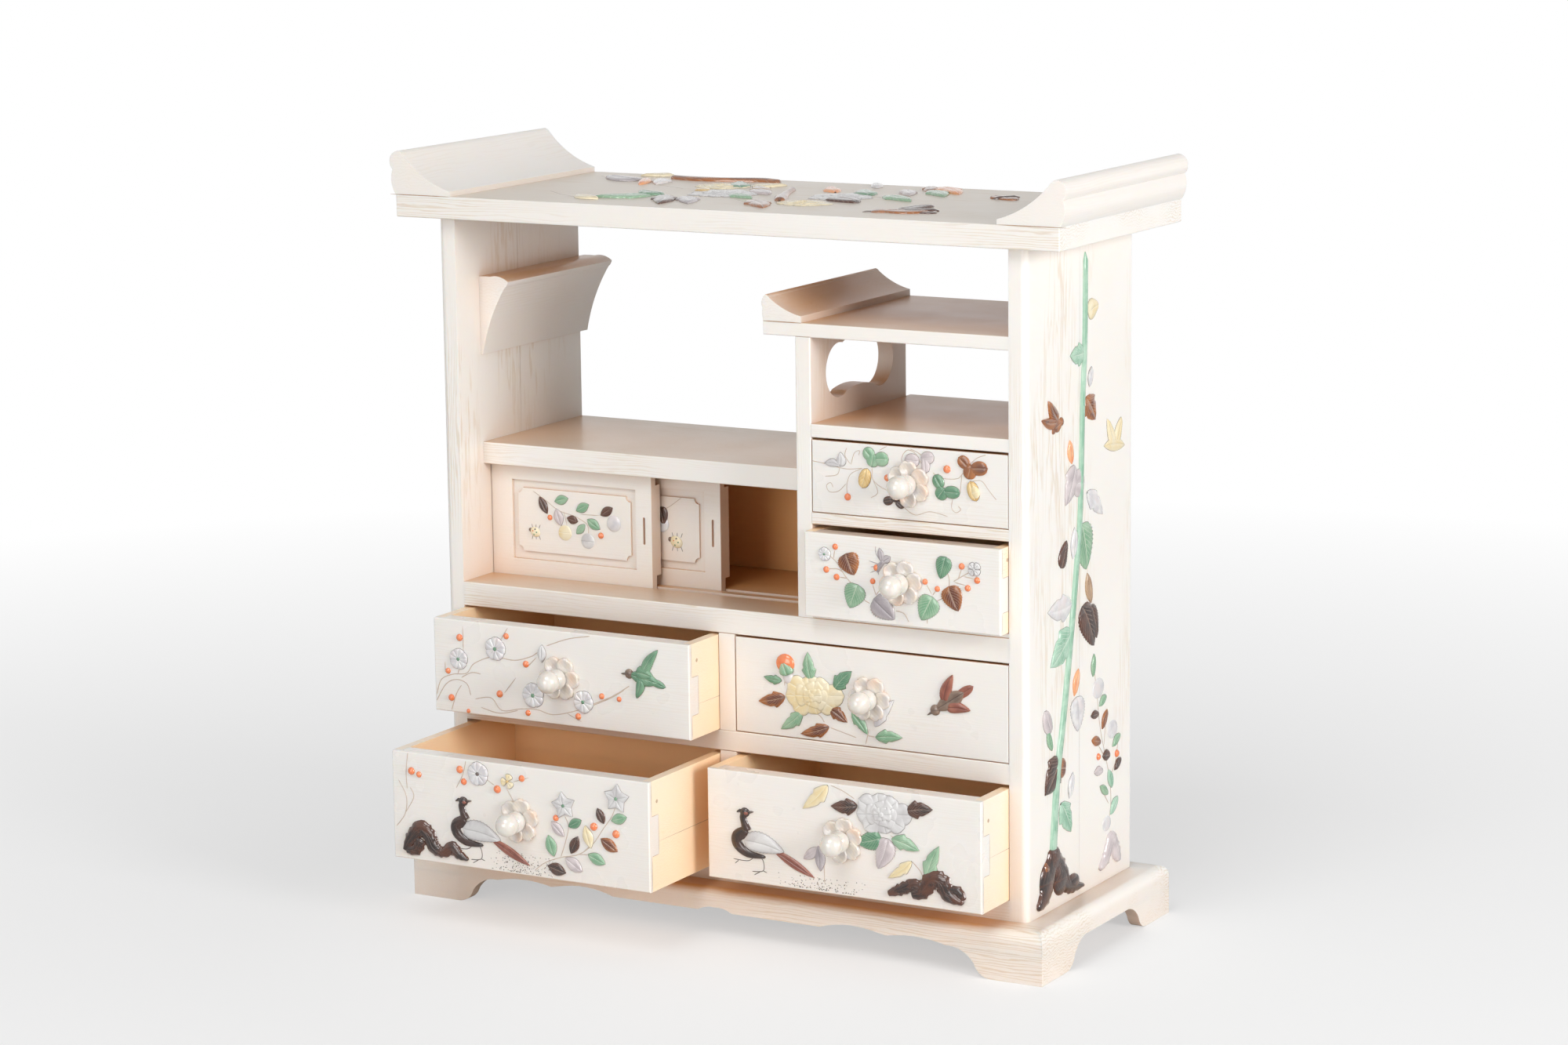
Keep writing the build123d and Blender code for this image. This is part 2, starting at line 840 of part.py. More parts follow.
for drawer in drawers:
    x0, x1 = drawer.left + drawer_side_gap, drawer.right - drawer_side_gap
    z0, z1 = drawer.floor + drawer_under_gap, drawer.ceiling - drawer.top_gap
    face_y = front_y - drawer.out
    end_y = face_y + drawer.length
    width, height = x1 - x0, z1 - z0

    front_plane = Plane((x0, face_y, z0), (1, 0, 0), (0, -1, 0))
    save(f"{drawer.name}_front", drawer_front(front_plane, width, height, drawer))

    lower_outline = [
        (drawer_lap, 0),
        (drawer.length, 0),
        (drawer.length, drawer.side_seam),
        (drawer_front_thick, drawer.side_seam),
        (drawer_front_thick, drawer.tab_low),
        (drawer_lap, drawer.tab_low),
    ]
    upper_outline = [
        (drawer_lap, drawer.tab_high),
        (drawer_front_thick, drawer.tab_high),
        (drawer_front_thick, drawer.side_seam),
        (drawer.length, drawer.side_seam),
        (drawer.length, height),
        (drawer_lap, height),
    ]
    side_boards = []
    for side_x in (x0, x1 - drawer_wall):
        side_plane = Plane((side_x, face_y, z0), (0, 1, 0), (1, 0, 0))
        side_boards.append(drawer_side_board(side_plane, lower_outline))
        side_boards.append(drawer_side_board(side_plane, upper_outline))
    save(f"{drawer.name}_sides", *side_boards)

    inside_left, inside_right = x0 + drawer_wall, x1 - drawer_wall
    with BuildPart() as lower_back:
        block(inside_left, inside_right, end_y - drawer_wall, end_y, z0, z0 + drawer.back_seam)
    with BuildPart() as upper_back:
        block(inside_left, inside_right, end_y - drawer_wall, end_y, z0 + drawer.back_seam, z1)
    save(f"{drawer.name}_back", lower_back.part, upper_back.part)

    bottom_z = z0 + drawer_bottom_lift
    with BuildPart() as bottom_board:
        block(
            inside_left,
            inside_right,
            face_y + drawer_front_thick,
            end_y - drawer_wall,
            bottom_z,
            bottom_z + drawer_bottom_thick,
        )
    save(f"{drawer.name}_bottom", bottom_board.part)

    pull_plane = Plane(((x0 + x1) / 2, face_y, (z0 + z1) / 2), (1, 0, 0), (0, -1, 0))
    save(f"{drawer.name}_rosette", rosette(pull_plane, drawer.rosette_turn))
    save(f"{drawer.name}_knob", knob(pull_plane))
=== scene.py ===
import json
import math
import random

import bpy
from mathutils import Matrix, Vector


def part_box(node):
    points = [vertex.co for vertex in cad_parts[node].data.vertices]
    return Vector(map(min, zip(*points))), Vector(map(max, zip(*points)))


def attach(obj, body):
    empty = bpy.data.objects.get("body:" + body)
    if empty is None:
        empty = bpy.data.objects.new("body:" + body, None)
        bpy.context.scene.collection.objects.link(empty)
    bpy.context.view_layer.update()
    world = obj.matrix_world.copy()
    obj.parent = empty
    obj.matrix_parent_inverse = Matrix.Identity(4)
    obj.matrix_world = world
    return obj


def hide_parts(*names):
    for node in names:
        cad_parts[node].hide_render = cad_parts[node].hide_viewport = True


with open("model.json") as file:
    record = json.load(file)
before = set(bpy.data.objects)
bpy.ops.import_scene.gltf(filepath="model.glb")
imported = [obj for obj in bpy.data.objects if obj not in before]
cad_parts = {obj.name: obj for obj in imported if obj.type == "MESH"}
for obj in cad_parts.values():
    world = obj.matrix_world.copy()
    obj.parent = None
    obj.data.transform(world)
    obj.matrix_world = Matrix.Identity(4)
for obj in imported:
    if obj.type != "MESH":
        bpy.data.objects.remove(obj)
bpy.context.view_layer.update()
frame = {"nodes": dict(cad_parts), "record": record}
nodes = frame["nodes"]
MM = 0.001
RIGHT, UP = (1, 0, 0), (0, 0, 1)


def add_object(name, data):
    """A new object in the scene."""
    made = bpy.data.objects.new(name, data)
    bpy.context.scene.collection.objects.link(made)
    return made


# ---- Camera: the photograph's viewpoint, 2000 x 1333 pixels ----
IMAGE_WIDTH = 2000
FOCAL_PIXELS = 5310.7
SENSOR_WIDTH = 36.0
CLIP_START, CLIP_END = 0.05, 50
CAMERA_PLACE = Vector((0.633888, -1.089923, 0.361207))
CAMERA_YAW = math.radians(29.68)
CAMERA_PITCH = math.radians(10.545)
CAMERA_ROLL = math.radians(-0.695)


def add_camera():
    """A level-built camera turned by yaw, pitch and roll."""
    flat = math.cos(CAMERA_PITCH)
    ahead = Vector((-math.sin(CAMERA_YAW) * flat, math.cos(CAMERA_YAW) * flat, -math.sin(CAMERA_PITCH)))
    level_right = Vector((math.cos(CAMERA_YAW), math.sin(CAMERA_YAW), 0))
    level_up = level_right.cross(ahead)
    right = math.cos(CAMERA_ROLL) * level_right + math.sin(CAMERA_ROLL) * level_up
    up = -math.sin(CAMERA_ROLL) * level_right + math.cos(CAMERA_ROLL) * level_up
    data = bpy.data.cameras.new("camera")
    data.sensor_fit = "HORIZONTAL"
    data.sensor_width = SENSOR_WIDTH
    data.lens = FOCAL_PIXELS * SENSOR_WIDTH / IMAGE_WIDTH
    data.clip_start = CLIP_START
    data.clip_end = CLIP_END
    camera = add_object("camera", data)
    turn = Matrix((right, up, -ahead)).transposed().to_4x4()
    camera.matrix_world = Matrix.Translation(CAMERA_PLACE) @ turn
    bpy.context.scene.camera = camera


# ---- Node helpers ----
def new_material(name):
    """An empty material with its node tree and its Principled shader."""
    material = bpy.data.materials.new(name)
    material.use_nodes = True
    tree = material.node_tree
    return material, tree, tree.nodes["Principled BSDF"]


def set_values(node, **values):
    """Give a node's inputs or settings by name, with _ for each space."""
    for key, value in values.items():
        socket = key.replace("_", " ")
        if socket in node.inputs:
            node.inputs[socket].default_value = value
        else:
            setattr(node, key, value)


def add_node(tree, kind, **values):
    """A node with its inputs or its settings given by name."""
    node = tree.nodes.new(kind)
    set_values(node, **values)
    return node


def maths(tree, operation, first, second=None, clamp=False):
    """A Math node fed by sockets or plain numbers."""
    node = add_node(tree, "ShaderNodeMath", operation=operation, use_clamp=clamp)
    for index, value in enumerate((first, second)):
        if value is None:
            continue
        if isinstance(value, (int, float)):
            node.inputs[index].default_value = value
        else:
            tree.links.new(value, node.inputs[index])
    return node.outputs[0]


def blend(tree, factor, first, second):
    """A colour mix fed by sockets, numbers or colours."""
    node = add_node(tree, "ShaderNodeMix", data_type="RGBA")
    for index, value in ((0, factor), (6, first), (7, second)):
        if isinstance(value, (int, float)):
            node.inputs[index].default_value = value
        elif isinstance(value, tuple):
            node.inputs[index].default_value = (*value, 1)
        else:
            tree.links.new(value, node.inputs[index])
    return node.outputs[2]


def ramp(tree, value, low, high):
    """0 below low, 1 above high, straight between."""
    node = add_node(tree, "ShaderNodeMapRange", clamp=True, From_Min=low, From_Max=high)
    tree.links.new(value, node.inputs["Value"])
    return node.outputs[0]


def stretched(tree, scale):
    """Object coordinates scaled along each axis, or along all three by one number."""
    coordinates = tree.nodes.new("ShaderNodeTexCoord")
    along = scale if isinstance(scale, tuple) else (scale, scale, scale)
    mapping = add_node(tree, "ShaderNodeMapping", Scale=along)
    tree.links.new(coordinates.outputs["Object"], mapping.inputs["Vector"])
    return mapping.outputs[0]


def noise(tree, scale, detail=3):
    """A noise value between 0 and 1."""
    node = add_node(tree, "ShaderNodeTexNoise", Scale=1, Detail=detail)
    tree.links.new(stretched(tree, scale), node.inputs["Vector"])
    return node.outputs[0]


def bump(tree, shader, height, strength, distance):
    """Connect a height to the shader as bump."""
    node = add_node(tree, "ShaderNodeBump", Strength=strength, Distance=distance)
    tree.links.new(height, node.inputs["Height"])
    tree.links.new(node.outputs[0], shader.inputs["Normal"])


def set_scatter(shader, weight, scale, radius=(1, 0.6, 0.35)):
    """Light that enters the surface and comes out warmer a little way off."""
    set_values(shader, Subsurface_Weight=weight, Subsurface_Radius=radius, Subsurface_Scale=scale)


# ---- Materials ----
# Painted shade: the warm dark tone of enclosed places, the darker tone of faces that look up, and how far the
# occlusion looks.
PAINTED_SHADE_TONE = (0.58, 0.28, 0.10)
TOP_SHADE_TONE = (0.60, 0.47, 0.33)
PAINTED_SHADE_REACH = 0.09
GRAIN_SCALES = {"x": (22, 260, 260), "y": (260, 22, 260), "z": (260, 260, 22)}


def looks_up(tree):
    """1 on a face that looks up, 0 on one that stands."""
    geometry = tree.nodes.new("ShaderNodeNewGeometry")
    split = tree.nodes.new("ShaderNodeSeparateXYZ")
    tree.links.new(geometry.outputs["Normal"], split.inputs[0])
    return ramp(tree, split.outputs[2], 0.5, 0.95)


def painted_enclosed_shade(tree, start, share):
    """Painted shade and warm bounce light by how enclosed a point is, stronger on faces that look up."""
    hollow = add_node(tree, "ShaderNodeAmbientOcclusion", Distance=PAINTED_SHADE_REACH, samples=6)
    depth = ramp(tree, hollow.outputs["AO"], start, 0.15)
    strength = maths(tree, "ADD", maths(tree, "MULTIPLY", looks_up(tree), 0.6), share)
    return maths(tree, "MULTIPLY", depth, strength, clamp=True)


def ivory(name, colour, warm, roughness, grain=0.5, coat=0.15, shade_tone=PAINTED_SHADE_TONE, run="x", top_shade_share=0.0):
    """Polished pale board: fine wavy grain along one axis, cloudy, with painted warm shade where it is enclosed
    and, where asked, painted shade on faces that look up.
    """
    material, tree, shader = new_material(name)
    lines = add_node(tree, "ShaderNodeTexWave", Scale=1.3, Distortion=13, Detail=4, Detail_Scale=1.1)
    lines.bands_direction = "X" if run == "z" else "Z"
    tree.links.new(stretched(tree, GRAIN_SCALES[run]), lines.inputs["Vector"])
    line_mask = ramp(tree, lines.outputs["Fac"], 0.62, 1)
    patch_scale = tuple(14 if axis == run else 44 for axis in "xyz")
    patch = ramp(tree, noise(tree, patch_scale), 0.46, 0.64)
    grain_mask = maths(tree, "MULTIPLY", line_mask, maths(tree, "MULTIPLY", patch, grain))
    cloud = ramp(tree, noise(tree, 30), 0.3, 0.75)

    grain_colour = tuple(c * f for c, f in zip(colour, (0.86, 0.78, 0.68)))
    cloudy = blend(tree, maths(tree, "MULTIPLY", cloud, 0.35), colour, warm)
    grained = blend(tree, grain_mask, cloudy, grain_colour)

    # Painted shade on faces that look up, standing for the weak light and darker reflections from above.
    shaded_on_top = blend(tree, maths(tree, "MULTIPLY", looks_up(tree), top_shade_share), grained, TOP_SHADE_TONE)
    # Painted warm shade and bounce light where the board is enclosed.
    shade_mask = painted_enclosed_shade(tree, 0.7, 0.5) if shade_tone == PAINTED_SHADE_TONE else painted_enclosed_shade(tree, 0.85, 1)
    tree.links.new(blend(tree, shade_mask, shaded_on_top, shade_tone), shader.inputs["Base Color"])

    polish = ramp(tree, noise(tree, 60), 0.2, 0.9)
    spread = maths(tree, "ADD", maths(tree, "MULTIPLY", polish, 0.12), roughness)
    tree.links.new(spread, shader.inputs["Roughness"])
    set_values(shader, IOR=1.5, Coat_Weight=coat, Coat_Roughness=0.12)
    set_scatter(shader, 0.25, 0.002)
    bump(tree, shader, lines.outputs["Fac"], 0.12, 0.00006)
    return material


def engraved(name, middle, edge, vein, roughness=0.22, veins=8, vein_share=0.75):
    """An inlaid leaf or feather: its own UV gives a lighter midrib, side veins and an edge tone."""
    material, tree, shader = new_material(name)
    coordinates = tree.nodes.new("ShaderNodeTexCoord")
    split = tree.nodes.new("ShaderNodeSeparateXYZ")
    tree.links.new(coordinates.outputs["UV"], split.inputs[0])
    lengthwise, across = split.outputs[0], split.outputs[1]
    side = maths(tree, "ABSOLUTE", maths(tree, "SUBTRACT", across, 0.5))
    slant = maths(tree, "SUBTRACT", lengthwise, maths(tree, "MULTIPLY", side, 0.8))
    stripe = maths(tree, "FRACT", maths(tree, "MULTIPLY", slant, veins))
    side_vein = ramp(tree, maths(tree, "ABSOLUTE", maths(tree, "SUBTRACT", stripe, 0.5)), 0.12, 0.02)
    midrib = ramp(tree, side, 0.035, 0.012)
    both = maths(tree, "MAXIMUM", midrib, maths(tree, "MULTIPLY", side_vein, 0.8))
    rim = ramp(tree, maths(tree, "ADD", side, maths(tree, "MULTIPLY", noise(tree, 420), 0.3)), 0.36, 0.66)
    patch = ramp(tree, noise(tree, 190), 0.44, 0.62)
    toned = blend(tree, maths(tree, "MAXIMUM", rim, patch), middle, edge)
    veined = blend(tree, maths(tree, "MULTIPLY", both, vein_share), toned, vein)
    tree.links.new(veined, shader.inputs["Base Color"])
    set_values(shader, Roughness=roughness, IOR=1.55, Coat_Weight=0.5, Coat_Roughness=0.08)
    bump(tree, shader, maths(tree, "SUBTRACT", 1, both), 0.5, 0.00012)
    return material


def shell(name, colours, roughness=0.24, stripe_scale=900):
    """Mother-of-pearl: three tints in drifting patches with a fine satin stripe."""
    material, tree, shader = new_material(name)
    patch = noise(tree, 330, 2)
    drift = noise(tree, (170, 210, 150), 1)
    first = blend(tree, ramp(tree, patch, 0.38, 0.62), colours[0], colours[1])
    tinted = blend(tree, ramp(tree, drift, 0.5, 0.68), first, colours[2])
    stripes = add_node(tree, "ShaderNodeTexWave", Scale=1, Distortion=4, Detail=2)
    stripes.bands_direction = "DIAGONAL"
    tree.links.new(stretched(tree, stripe_scale), stripes.inputs["Vector"])
    stripe_share = maths(tree, "MULTIPLY", stripes.outputs["Fac"], 0.22)
    shaded = blend(tree, stripe_share, tinted, (0.55, 0.50, 0.50))
    tree.links.new(shaded, shader.inputs["Base Color"])
    set_values(shader, Roughness=roughness, IOR=1.6, Coat_Weight=0.6, Coat_Roughness=0.06)
    set_scatter(shader, 0.15, 0.001)
    bump(tree, shader, stripes.outputs["Fac"], 0.25, 0.00005)
    return material


def polished(name, colour, dark, roughness=0.12, soft=0.2):
    """A polished bead or stone with faint clouding."""
    material, tree, shader = new_material(name)
    cloud = ramp(tree, noise(tree, 500), 0.35, 0.8)
    tree.links.new(blend(tree, cloud, colour, dark), shader.inputs["Base Color"])
    set_values(shader, Roughness=roughness, IOR=1.56, Coat_Weight=0.6, Coat_Roughness=0.05)
    set_scatter(shader, soft, 0.0012, (1, 0.5, 0.3))
    bump(tree, shader, cloud, 0.08, 0.00005)
    return material


# Painted shade and bounce light: the warm tones that the enclosed insides of the bays and of the drawer boxes
# turn to.
INNER_SHADE_TONE = (0.98, 0.52, 0.20)
BOX_SHADE_TONE = (0.98, 0.66, 0.38)
CARCASS_LOOKS = {
    # The board's 0.5 paints shade on its faces that look up.
    "board": ivory("board", (0.86, 0.83, 0.79), (0.84, 0.77, 0.68), 0.3, 0.9, top_shade_share=0.5),
    # inner_board and drawer_box below are warmer, darker copies of the board ivory: painted shade and bounce
    # light for the insides.
    "inner_board": ivory("inner_board", (0.87, 0.78, 0.66), (0.86, 0.70, 0.52), 0.38, 0.5, 0, INNER_SHADE_TONE),
    "scroll": ivory("scroll", (0.85, 0.81, 0.77), (0.84, 0.76, 0.67), 0.28, 0.25, run="y"),
    "base": ivory("base", (0.86, 0.83, 0.79), (0.83, 0.75, 0.65), 0.28, 1.1),
    "door": ivory("door", (0.86, 0.82, 0.77), (0.85, 0.77, 0.68), 0.3, 0.15),
    "drawer_front": ivory("drawer_front", (0.84, 0.81, 0.77), (0.82, 0.77, 0.71), 0.24, 0.25, 0.3),
    "drawer_box": ivory("drawer_box", (0.90, 0.81, 0.69), (0.90, 0.73, 0.55), 0.36, 0.5, 0, BOX_SHADE_TONE),
    "knob": polished("knob", (0.74, 0.71, 0.66), (0.68, 0.63, 0.56), 0.16, 0.35),
}
UPRIGHT_LOOK = ivory("upright_board", (0.86, 0.83, 0.79), (0.84, 0.77, 0.68), 0.3, 0.8, run="z")
UPRIGHT_NODES = ("side_panel_left", "side_panel_right", "tall_divider", "centre_dividers")
PALE_EDGED_NODES = ("base_floor", "dust_board")
PEARL = shell("pearl", ((0.76, 0.68, 0.57), (0.68, 0.63, 0.60), (0.80, 0.60, 0.46)), 0.2, 500)
PEARL_INLAY = shell("pearl_inlay", ((0.76, 0.75, 0.74), (0.62, 0.60, 0.62), (0.76, 0.69, 0.68)))

# Each row: kind, material slot, then the tones of the middle, edge and veins and what differs in finish.
ENGRAVED = (
    ("green", "inlay_green", (0.075, 0.22, 0.12), (0.16, 0.32, 0.19), (0.40, 0.52, 0.38)),
    ("leaf", "inlay_green", (0.17, 0.36, 0.21), (0.30, 0.47, 0.31), (0.55, 0.66, 0.49)),
    ("jade", "inlay_green", (0.20, 0.42, 0.28), (0.40, 0.60, 0.46), (0.60, 0.74, 0.60)),
    ("dark", "inlay_dark", (0.028, 0.012, 0.009), (0.09, 0.025, 0.010), (0.30, 0.20, 0.15), 0.16),
    ("brown", "inlay_dark", (0.13, 0.030, 0.010), (0.38, 0.12, 0.020), (0.50, 0.33, 0.22), 0.16),
    ("horn", "inlay_dark", (0.018, 0.009, 0.007), (0.050, 0.017, 0.009), (0.05, 0.02, 0.01), 0.14, 3, 0.3),
    ("rock", "inlay_dark", (0.018, 0.008, 0.006), (0.095, 0.026, 0.009), (0.14, 0.04, 0.012), 0.12, 5, 0.35),
    ("tan", "inlay_dark", (0.34, 0.20, 0.11), (0.50, 0.33, 0.20), (0.60, 0.44, 0.30)),
    ("rust", "inlay_dark", (0.24, 0.06, 0.035), (0.36, 0.12, 0.07), (0.12, 0.04, 0.03), 0.2, 11),
    ("dun", "inlay_dark", (0.16, 0.10, 0.07), (0.30, 0.20, 0.14), (0.06, 0.035, 0.03), 0.22, 13),
    ("lilac", "inlay_lilac", (0.50, 0.43, 0.44), (0.66, 0.58, 0.58), (0.74, 0.68, 0.68), 0.2, 12),
    ("grey", "inlay_lilac", (0.36, 0.32, 0.34), (0.52, 0.47, 0.48), (0.22, 0.19, 0.20), 0.22, 14),
    ("yellow", "inlay_yellow", (0.82, 0.66, 0.36), (0.86, 0.76, 0.54), (0.90, 0.82, 0.64), 0.24, 14),
    ("amber", "inlay_yellow", (0.80, 0.58, 0.26), (0.62, 0.38, 0.12), (0.88, 0.74, 0.46), 0.24, 5),
    ("white", "pearl", (0.74, 0.73, 0.72), (0.60, 0.58, 0.58), (0.40, 0.38, 0.38), 0.18, 16, 0.5),
    ("coral_leaf", "inlay_coral", (0.84, 0.24, 0.07), (0.88, 0.42, 0.20), (0.90, 0.55, 0.38)),
)
# Each row: kind, material slot, two tones, roughness and how softly light enters.
POLISHED = (
    ("coral", "inlay_coral", (0.82, 0.20, 0.06), (0.78, 0.28, 0.12), 0.14, 0.3),
    ("engraving", "drawer_front", (0.52, 0.40, 0.31), (0.62, 0.50, 0.40), 0.4, 0),
    ("ink", "inlay_dark", (0.10, 0.075, 0.06), (0.16, 0.12, 0.10), 0.4, 0),
    ("seam", "board", (0.38, 0.22, 0.12), (0.55, 0.38, 0.24), 0.5, 0),
    ("peg", "drawer_box", (0.58, 0.42, 0.28), (0.46, 0.30, 0.18), 0.35, 0.1),
)
INLAYS = {"pearl": ("pearl", PEARL_INLAY)}
for inlay, inlay_slot, *look in ENGRAVED:
    INLAYS[inlay] = (inlay_slot, engraved(inlay, *look))
for inlay, inlay_slot, *look in POLISHED:
    INLAYS[inlay] = (inlay_slot, polished(inlay, *look))


def dress_cad():
    """Give each CAD node the look of its material slot."""
    for row in frame["record"]["subparts"]:
        look = CARCASS_LOOKS.get(row["material_slot"], PEARL)
        if row["node"] in UPRIGHT_NODES:
            look = UPRIGHT_LOOK
        if row["node"] in PALE_EDGED_NODES:
            look = CARCASS_LOOKS["base"]
        mesh = nodes[row["node"]].data
        mesh.materials.clear()
        mesh.materials.append(look)


# ---- Relief shapes, drawn in millimetres on a flat face ----
EDGE_LINED = ("white", "pearl", "yellow", "lilac", "grey", "leaf", "jade", "green", "amber")
EDGE_LINE = 0.1
SUNK = -0.05
DOME = ((-1, SUNK), (-0.97, 0.55), (-0.75, 0.86), (-0.4, 1.0), (-0.07, 0.97), (0, 0.82))
SECTION = DOME + tuple((-v, h) for v, h in reversed(DOME[:-1]))
DOME_RINGS = (1.0, 0.985, 0.93, 0.82, 0.65, 0.42, 0.2, 0.02)
DOME_AROUND = 20
RIBBON = ((-1, 0), (-0.9, 0.5), (-0.5, 0.88), (0, 1), (0.5, 0.88), (0.9, 0.5), (1, 0))


def profile_round(u):
    """Half width of an ellipse."""
    return math.sqrt(max(0.0, 1 - (2 * u - 1) ** 2))


def profile_oval(u):
    """Half width of a leaf pointed at both ends."""
    return math.sin(math.pi * u) ** 0.85


def profile_heart(u):
    """Half width of a toothed leaf, broad near its stalk and pointed at its tip."""
    teeth = 1 + 0.05 * math.cos(12 * 2 * math.pi * u)
    return math.sin(math.pi * u**0.62) ** 0.7 * teeth


def profile_ivy(u):
    """Half width of a leaf with a pointed shoulder on each side."""
    corners = ((0, 0.1), (0.1, 0.5), (0.38, 1.0), (0.46, 0.66), (0.58, 0.74), (0.84, 0.36), (1, 0))
    for (u0, w0), (u1, w1) in zip(corners, corners[1:]):
        if u <= u1:
            return w0 + (w1 - w0) * (u - u0) / (u1 - u0)
    return 0.0


def profile_petal(u):
    """Half width of a petal, narrow at its foot and round at its end."""
    return math.sin(math.pi * u**1.7) ** 0.6 if 0 < u < 1 else 0.0


def profile_star(u):
    """Half width of one point of a star flower."""
    return 0.3 + 0.7 * u / 0.42 if u < 0.42 else (1 - u) / 0.58


LEAF_STEPS = {"ivy": 18, "heart": 24}
PROFILES = {
    "round": profile_round,
    "oval": profile_oval,
    "heart": profile_heart,
    "ivy": profile_ivy,
    "petal": profile_petal,
    "star": profile_star,
}


def unmoved(x, y):
    return (x, y)


class Face:
    """A flat face of the cabinet that carries inlay; it gathers the shapes of each kind.

    A path is x, y, x, y and so on; at, where given, moves each of its points.
    """

    def __init__(self, name, body, origin, right, up=UP):
        self.name = name
        self.body = body
        self.origin = Vector(origin)
        self.right = Vector(right)
        self.up = Vector(up)
        self.out = self.right.cross(self.up)
        self.kinds = {}

    def place(self, x, y, height):
        return self.origin + (x * self.right + y * self.up + height * self.out) * MM

    def grid(self, kind, rows, closed=False):
        """Add a mesh of rows of (x, y, height, u, v) points."""
        points, faces, uvs = self.kinds.setdefault(kind, ([], [], []))
        start, width = len(points), len(rows[0])
        for row in rows:
            for x, y, height, u, v in row:
                points.append(self.place(x, y, height))
                uvs.append((u, v))
        for i in range(len(rows) - 1):
            for j in range(width if closed else width - 1):
                a, b = start + i * width + j, start + i * width + (j + 1) % width
                faces.append((a, b, b + width, a + width) if closed else (a, a + width, b + width, b))

    def leaf(self, kind, shape, base, tip, width, relief=0.5, bend=0.0, lift=0.0):
        """A domed leaf from its stalk to its tip, with a sunk midrib; pale ones get a dark edge line."""
        run_x, run_y = tip[0] - base[0], tip[1] - base[1]
        length = math.hypot(run_x, run_y)
        if kind in EDGE_LINED:
            grow_x, grow_y = EDGE_LINE * run_x / length, EDGE_LINE * run_y / length
            outer_base = (base[0] - grow_x, base[1] - grow_y)
            outer_tip = (tip[0] + grow_x, tip[1] + grow_y)
            self.leaf("ink", shape, outer_base, outer_tip, width + 2 * EDGE_LINE, 0.1, bend)
        ax, ay = run_x / length, run_y / length
        rows = []
        steps = LEAF_STEPS.get(shape, 12)
        for i in range(steps + 1):
            u = i / steps
            half = PROFILES[shape](u) * width / 2
            sway = bend * length * math.sin(math.pi * u)
            rise = relief * min(1.0, 1.5 * math.sin(math.pi * min(max(u, 0.02), 0.98)) ** 0.5)
            row = []
            for v, share in SECTION:
                side = v * half + sway
                x = base[0] + ax * u * length - ay * side
                y = base[1] + ay * u * length + ax * side
                height = lift + rise * share if share > 0 else SUNK
                row.append((x, y, height, u, 0.5 + v / 2))
            rows.append(row)
        self.grid(kind, rows)

    def leaves(self, relief, bend, *rows, broad=1.0, at=unmoved):
        """Leaves given by kind and shape (oval if none is named), base, tip and width."""
        for look, base_x, base_y, tip_x, tip_y, width in rows:
            kind, _, shape = look.partition(" ")
            base, tip = at(base_x, base_y), at(tip_x, tip_y)
            self.leaf(kind, shape or "oval", base, tip, width * broad, relief, bend)

    def dome(self, kind, x, y, half_x, half_y=None, relief=None, turn=0.0, lift=0.0):
        """A round or oval bead, fullest in the middle."""
        half_y = half_y or half_x
        relief = relief or half_x * 0.75
        cos_turn, sin_turn = math.cos(math.radians(turn)), math.sin(math.radians(turn))
        rows = []
        for ring in DOME_RINGS:
            height = lift + relief * math.sqrt(max(0.0, 1 - ring**2)) if ring < 1 else SUNK
            row = []
            for k in range(DOME_AROUND):
                angle = 2 * math.pi * k / DOME_AROUND
                dx, dy = half_x * ring * math.cos(angle), half_y * ring * math.sin(angle)
                px = x + dx * cos_turn - dy * sin_turn
                py = y + dx * sin_turn + dy * cos_turn
                row.append((px, py, height, 0.5 + dx / half_x / 2, 0.5 + dy / half_y / 2))
            rows.append(row)
        self.grid(kind, rows, closed=True)

    def stroke(self, kind, path, widths, relief=0.4, lumps=0.0, at=unmoved):
        """A domed ribbon that follows a smooth line along the path; lumps make it knobbly."""
        points = [at(x, y) for x, y in zip(path[::2], path[1::2])]
        if isinstance(widths, (int, float)):
            widths = [widths] * len(points)
        line = smooth_line(points, widths)
        rows = []
        for i, (x, y, width) in enumerate(line):
            width *= 1 + lumps * (math.sin(2.1 * i) + 0.6 * math.sin(3.7 * i + 1))
            x0, y0, _ = line[max(i - 1, 0)]
            x1, y1, _ = line[min(i + 1, len(line) - 1)]
            length = math.hypot(x1 - x0, y1 - y0) or 1
            nx, ny = -(y1 - y0) / length, (x1 - x0) / length
            end = 0.25 if i in (0, len(line) - 1) else 1.0
            row = []
            for v, share in RIBBON:
                half = v * width * end / 2
                height = relief * share * end if share else SUNK
                row.append((x + nx * half, y + ny * half, height, i / len(line), 0.5 + v / 2))
            rows.append(row)
        self.grid(kind, rows)

    def stems(self, *paths, kind="engraving", width=0.22, at=unmoved):
        for path in paths:
            self.stroke(kind, path, width, 0.05, at=at)

    def blossom(self, x, y, radius, turn=0.0, kind="pearl", petals=5, centre="green"):
        """A small flower of round petals about a bead."""
        for k in range(petals):
            angle = math.radians(turn + 360 * k / petals)
            cos_a, sin_a = math.cos(angle), math.sin(angle)
            base = (x + 0.04 * radius * cos_a, y + 0.04 * radius * sin_a)
            tip = (x + radius * cos_a, y + radius * sin_a)
            self.leaf(kind, "petal", base, tip, radius * 1.08, 0.55, 0.0, 0.08 * (k % 2))
        self.dome(centre, x, y, radius * 0.16, relief=0.25, lift=0.5)

    def star(self, x, y, radius, turn):
        """A white flower of five pointed petals about a green bead."""
        for k in range(5):
            angle = math.radians(turn + 72 * k)
            tip = (x + radius * math.cos(angle), y + radius * math.sin(angle))
            self.leaf("white", "star", (x, y), tip, radius * 0.86, 0.6)
        self.dome("green", x, y, radius * 0.12, relief=0.3, lift=0.5)

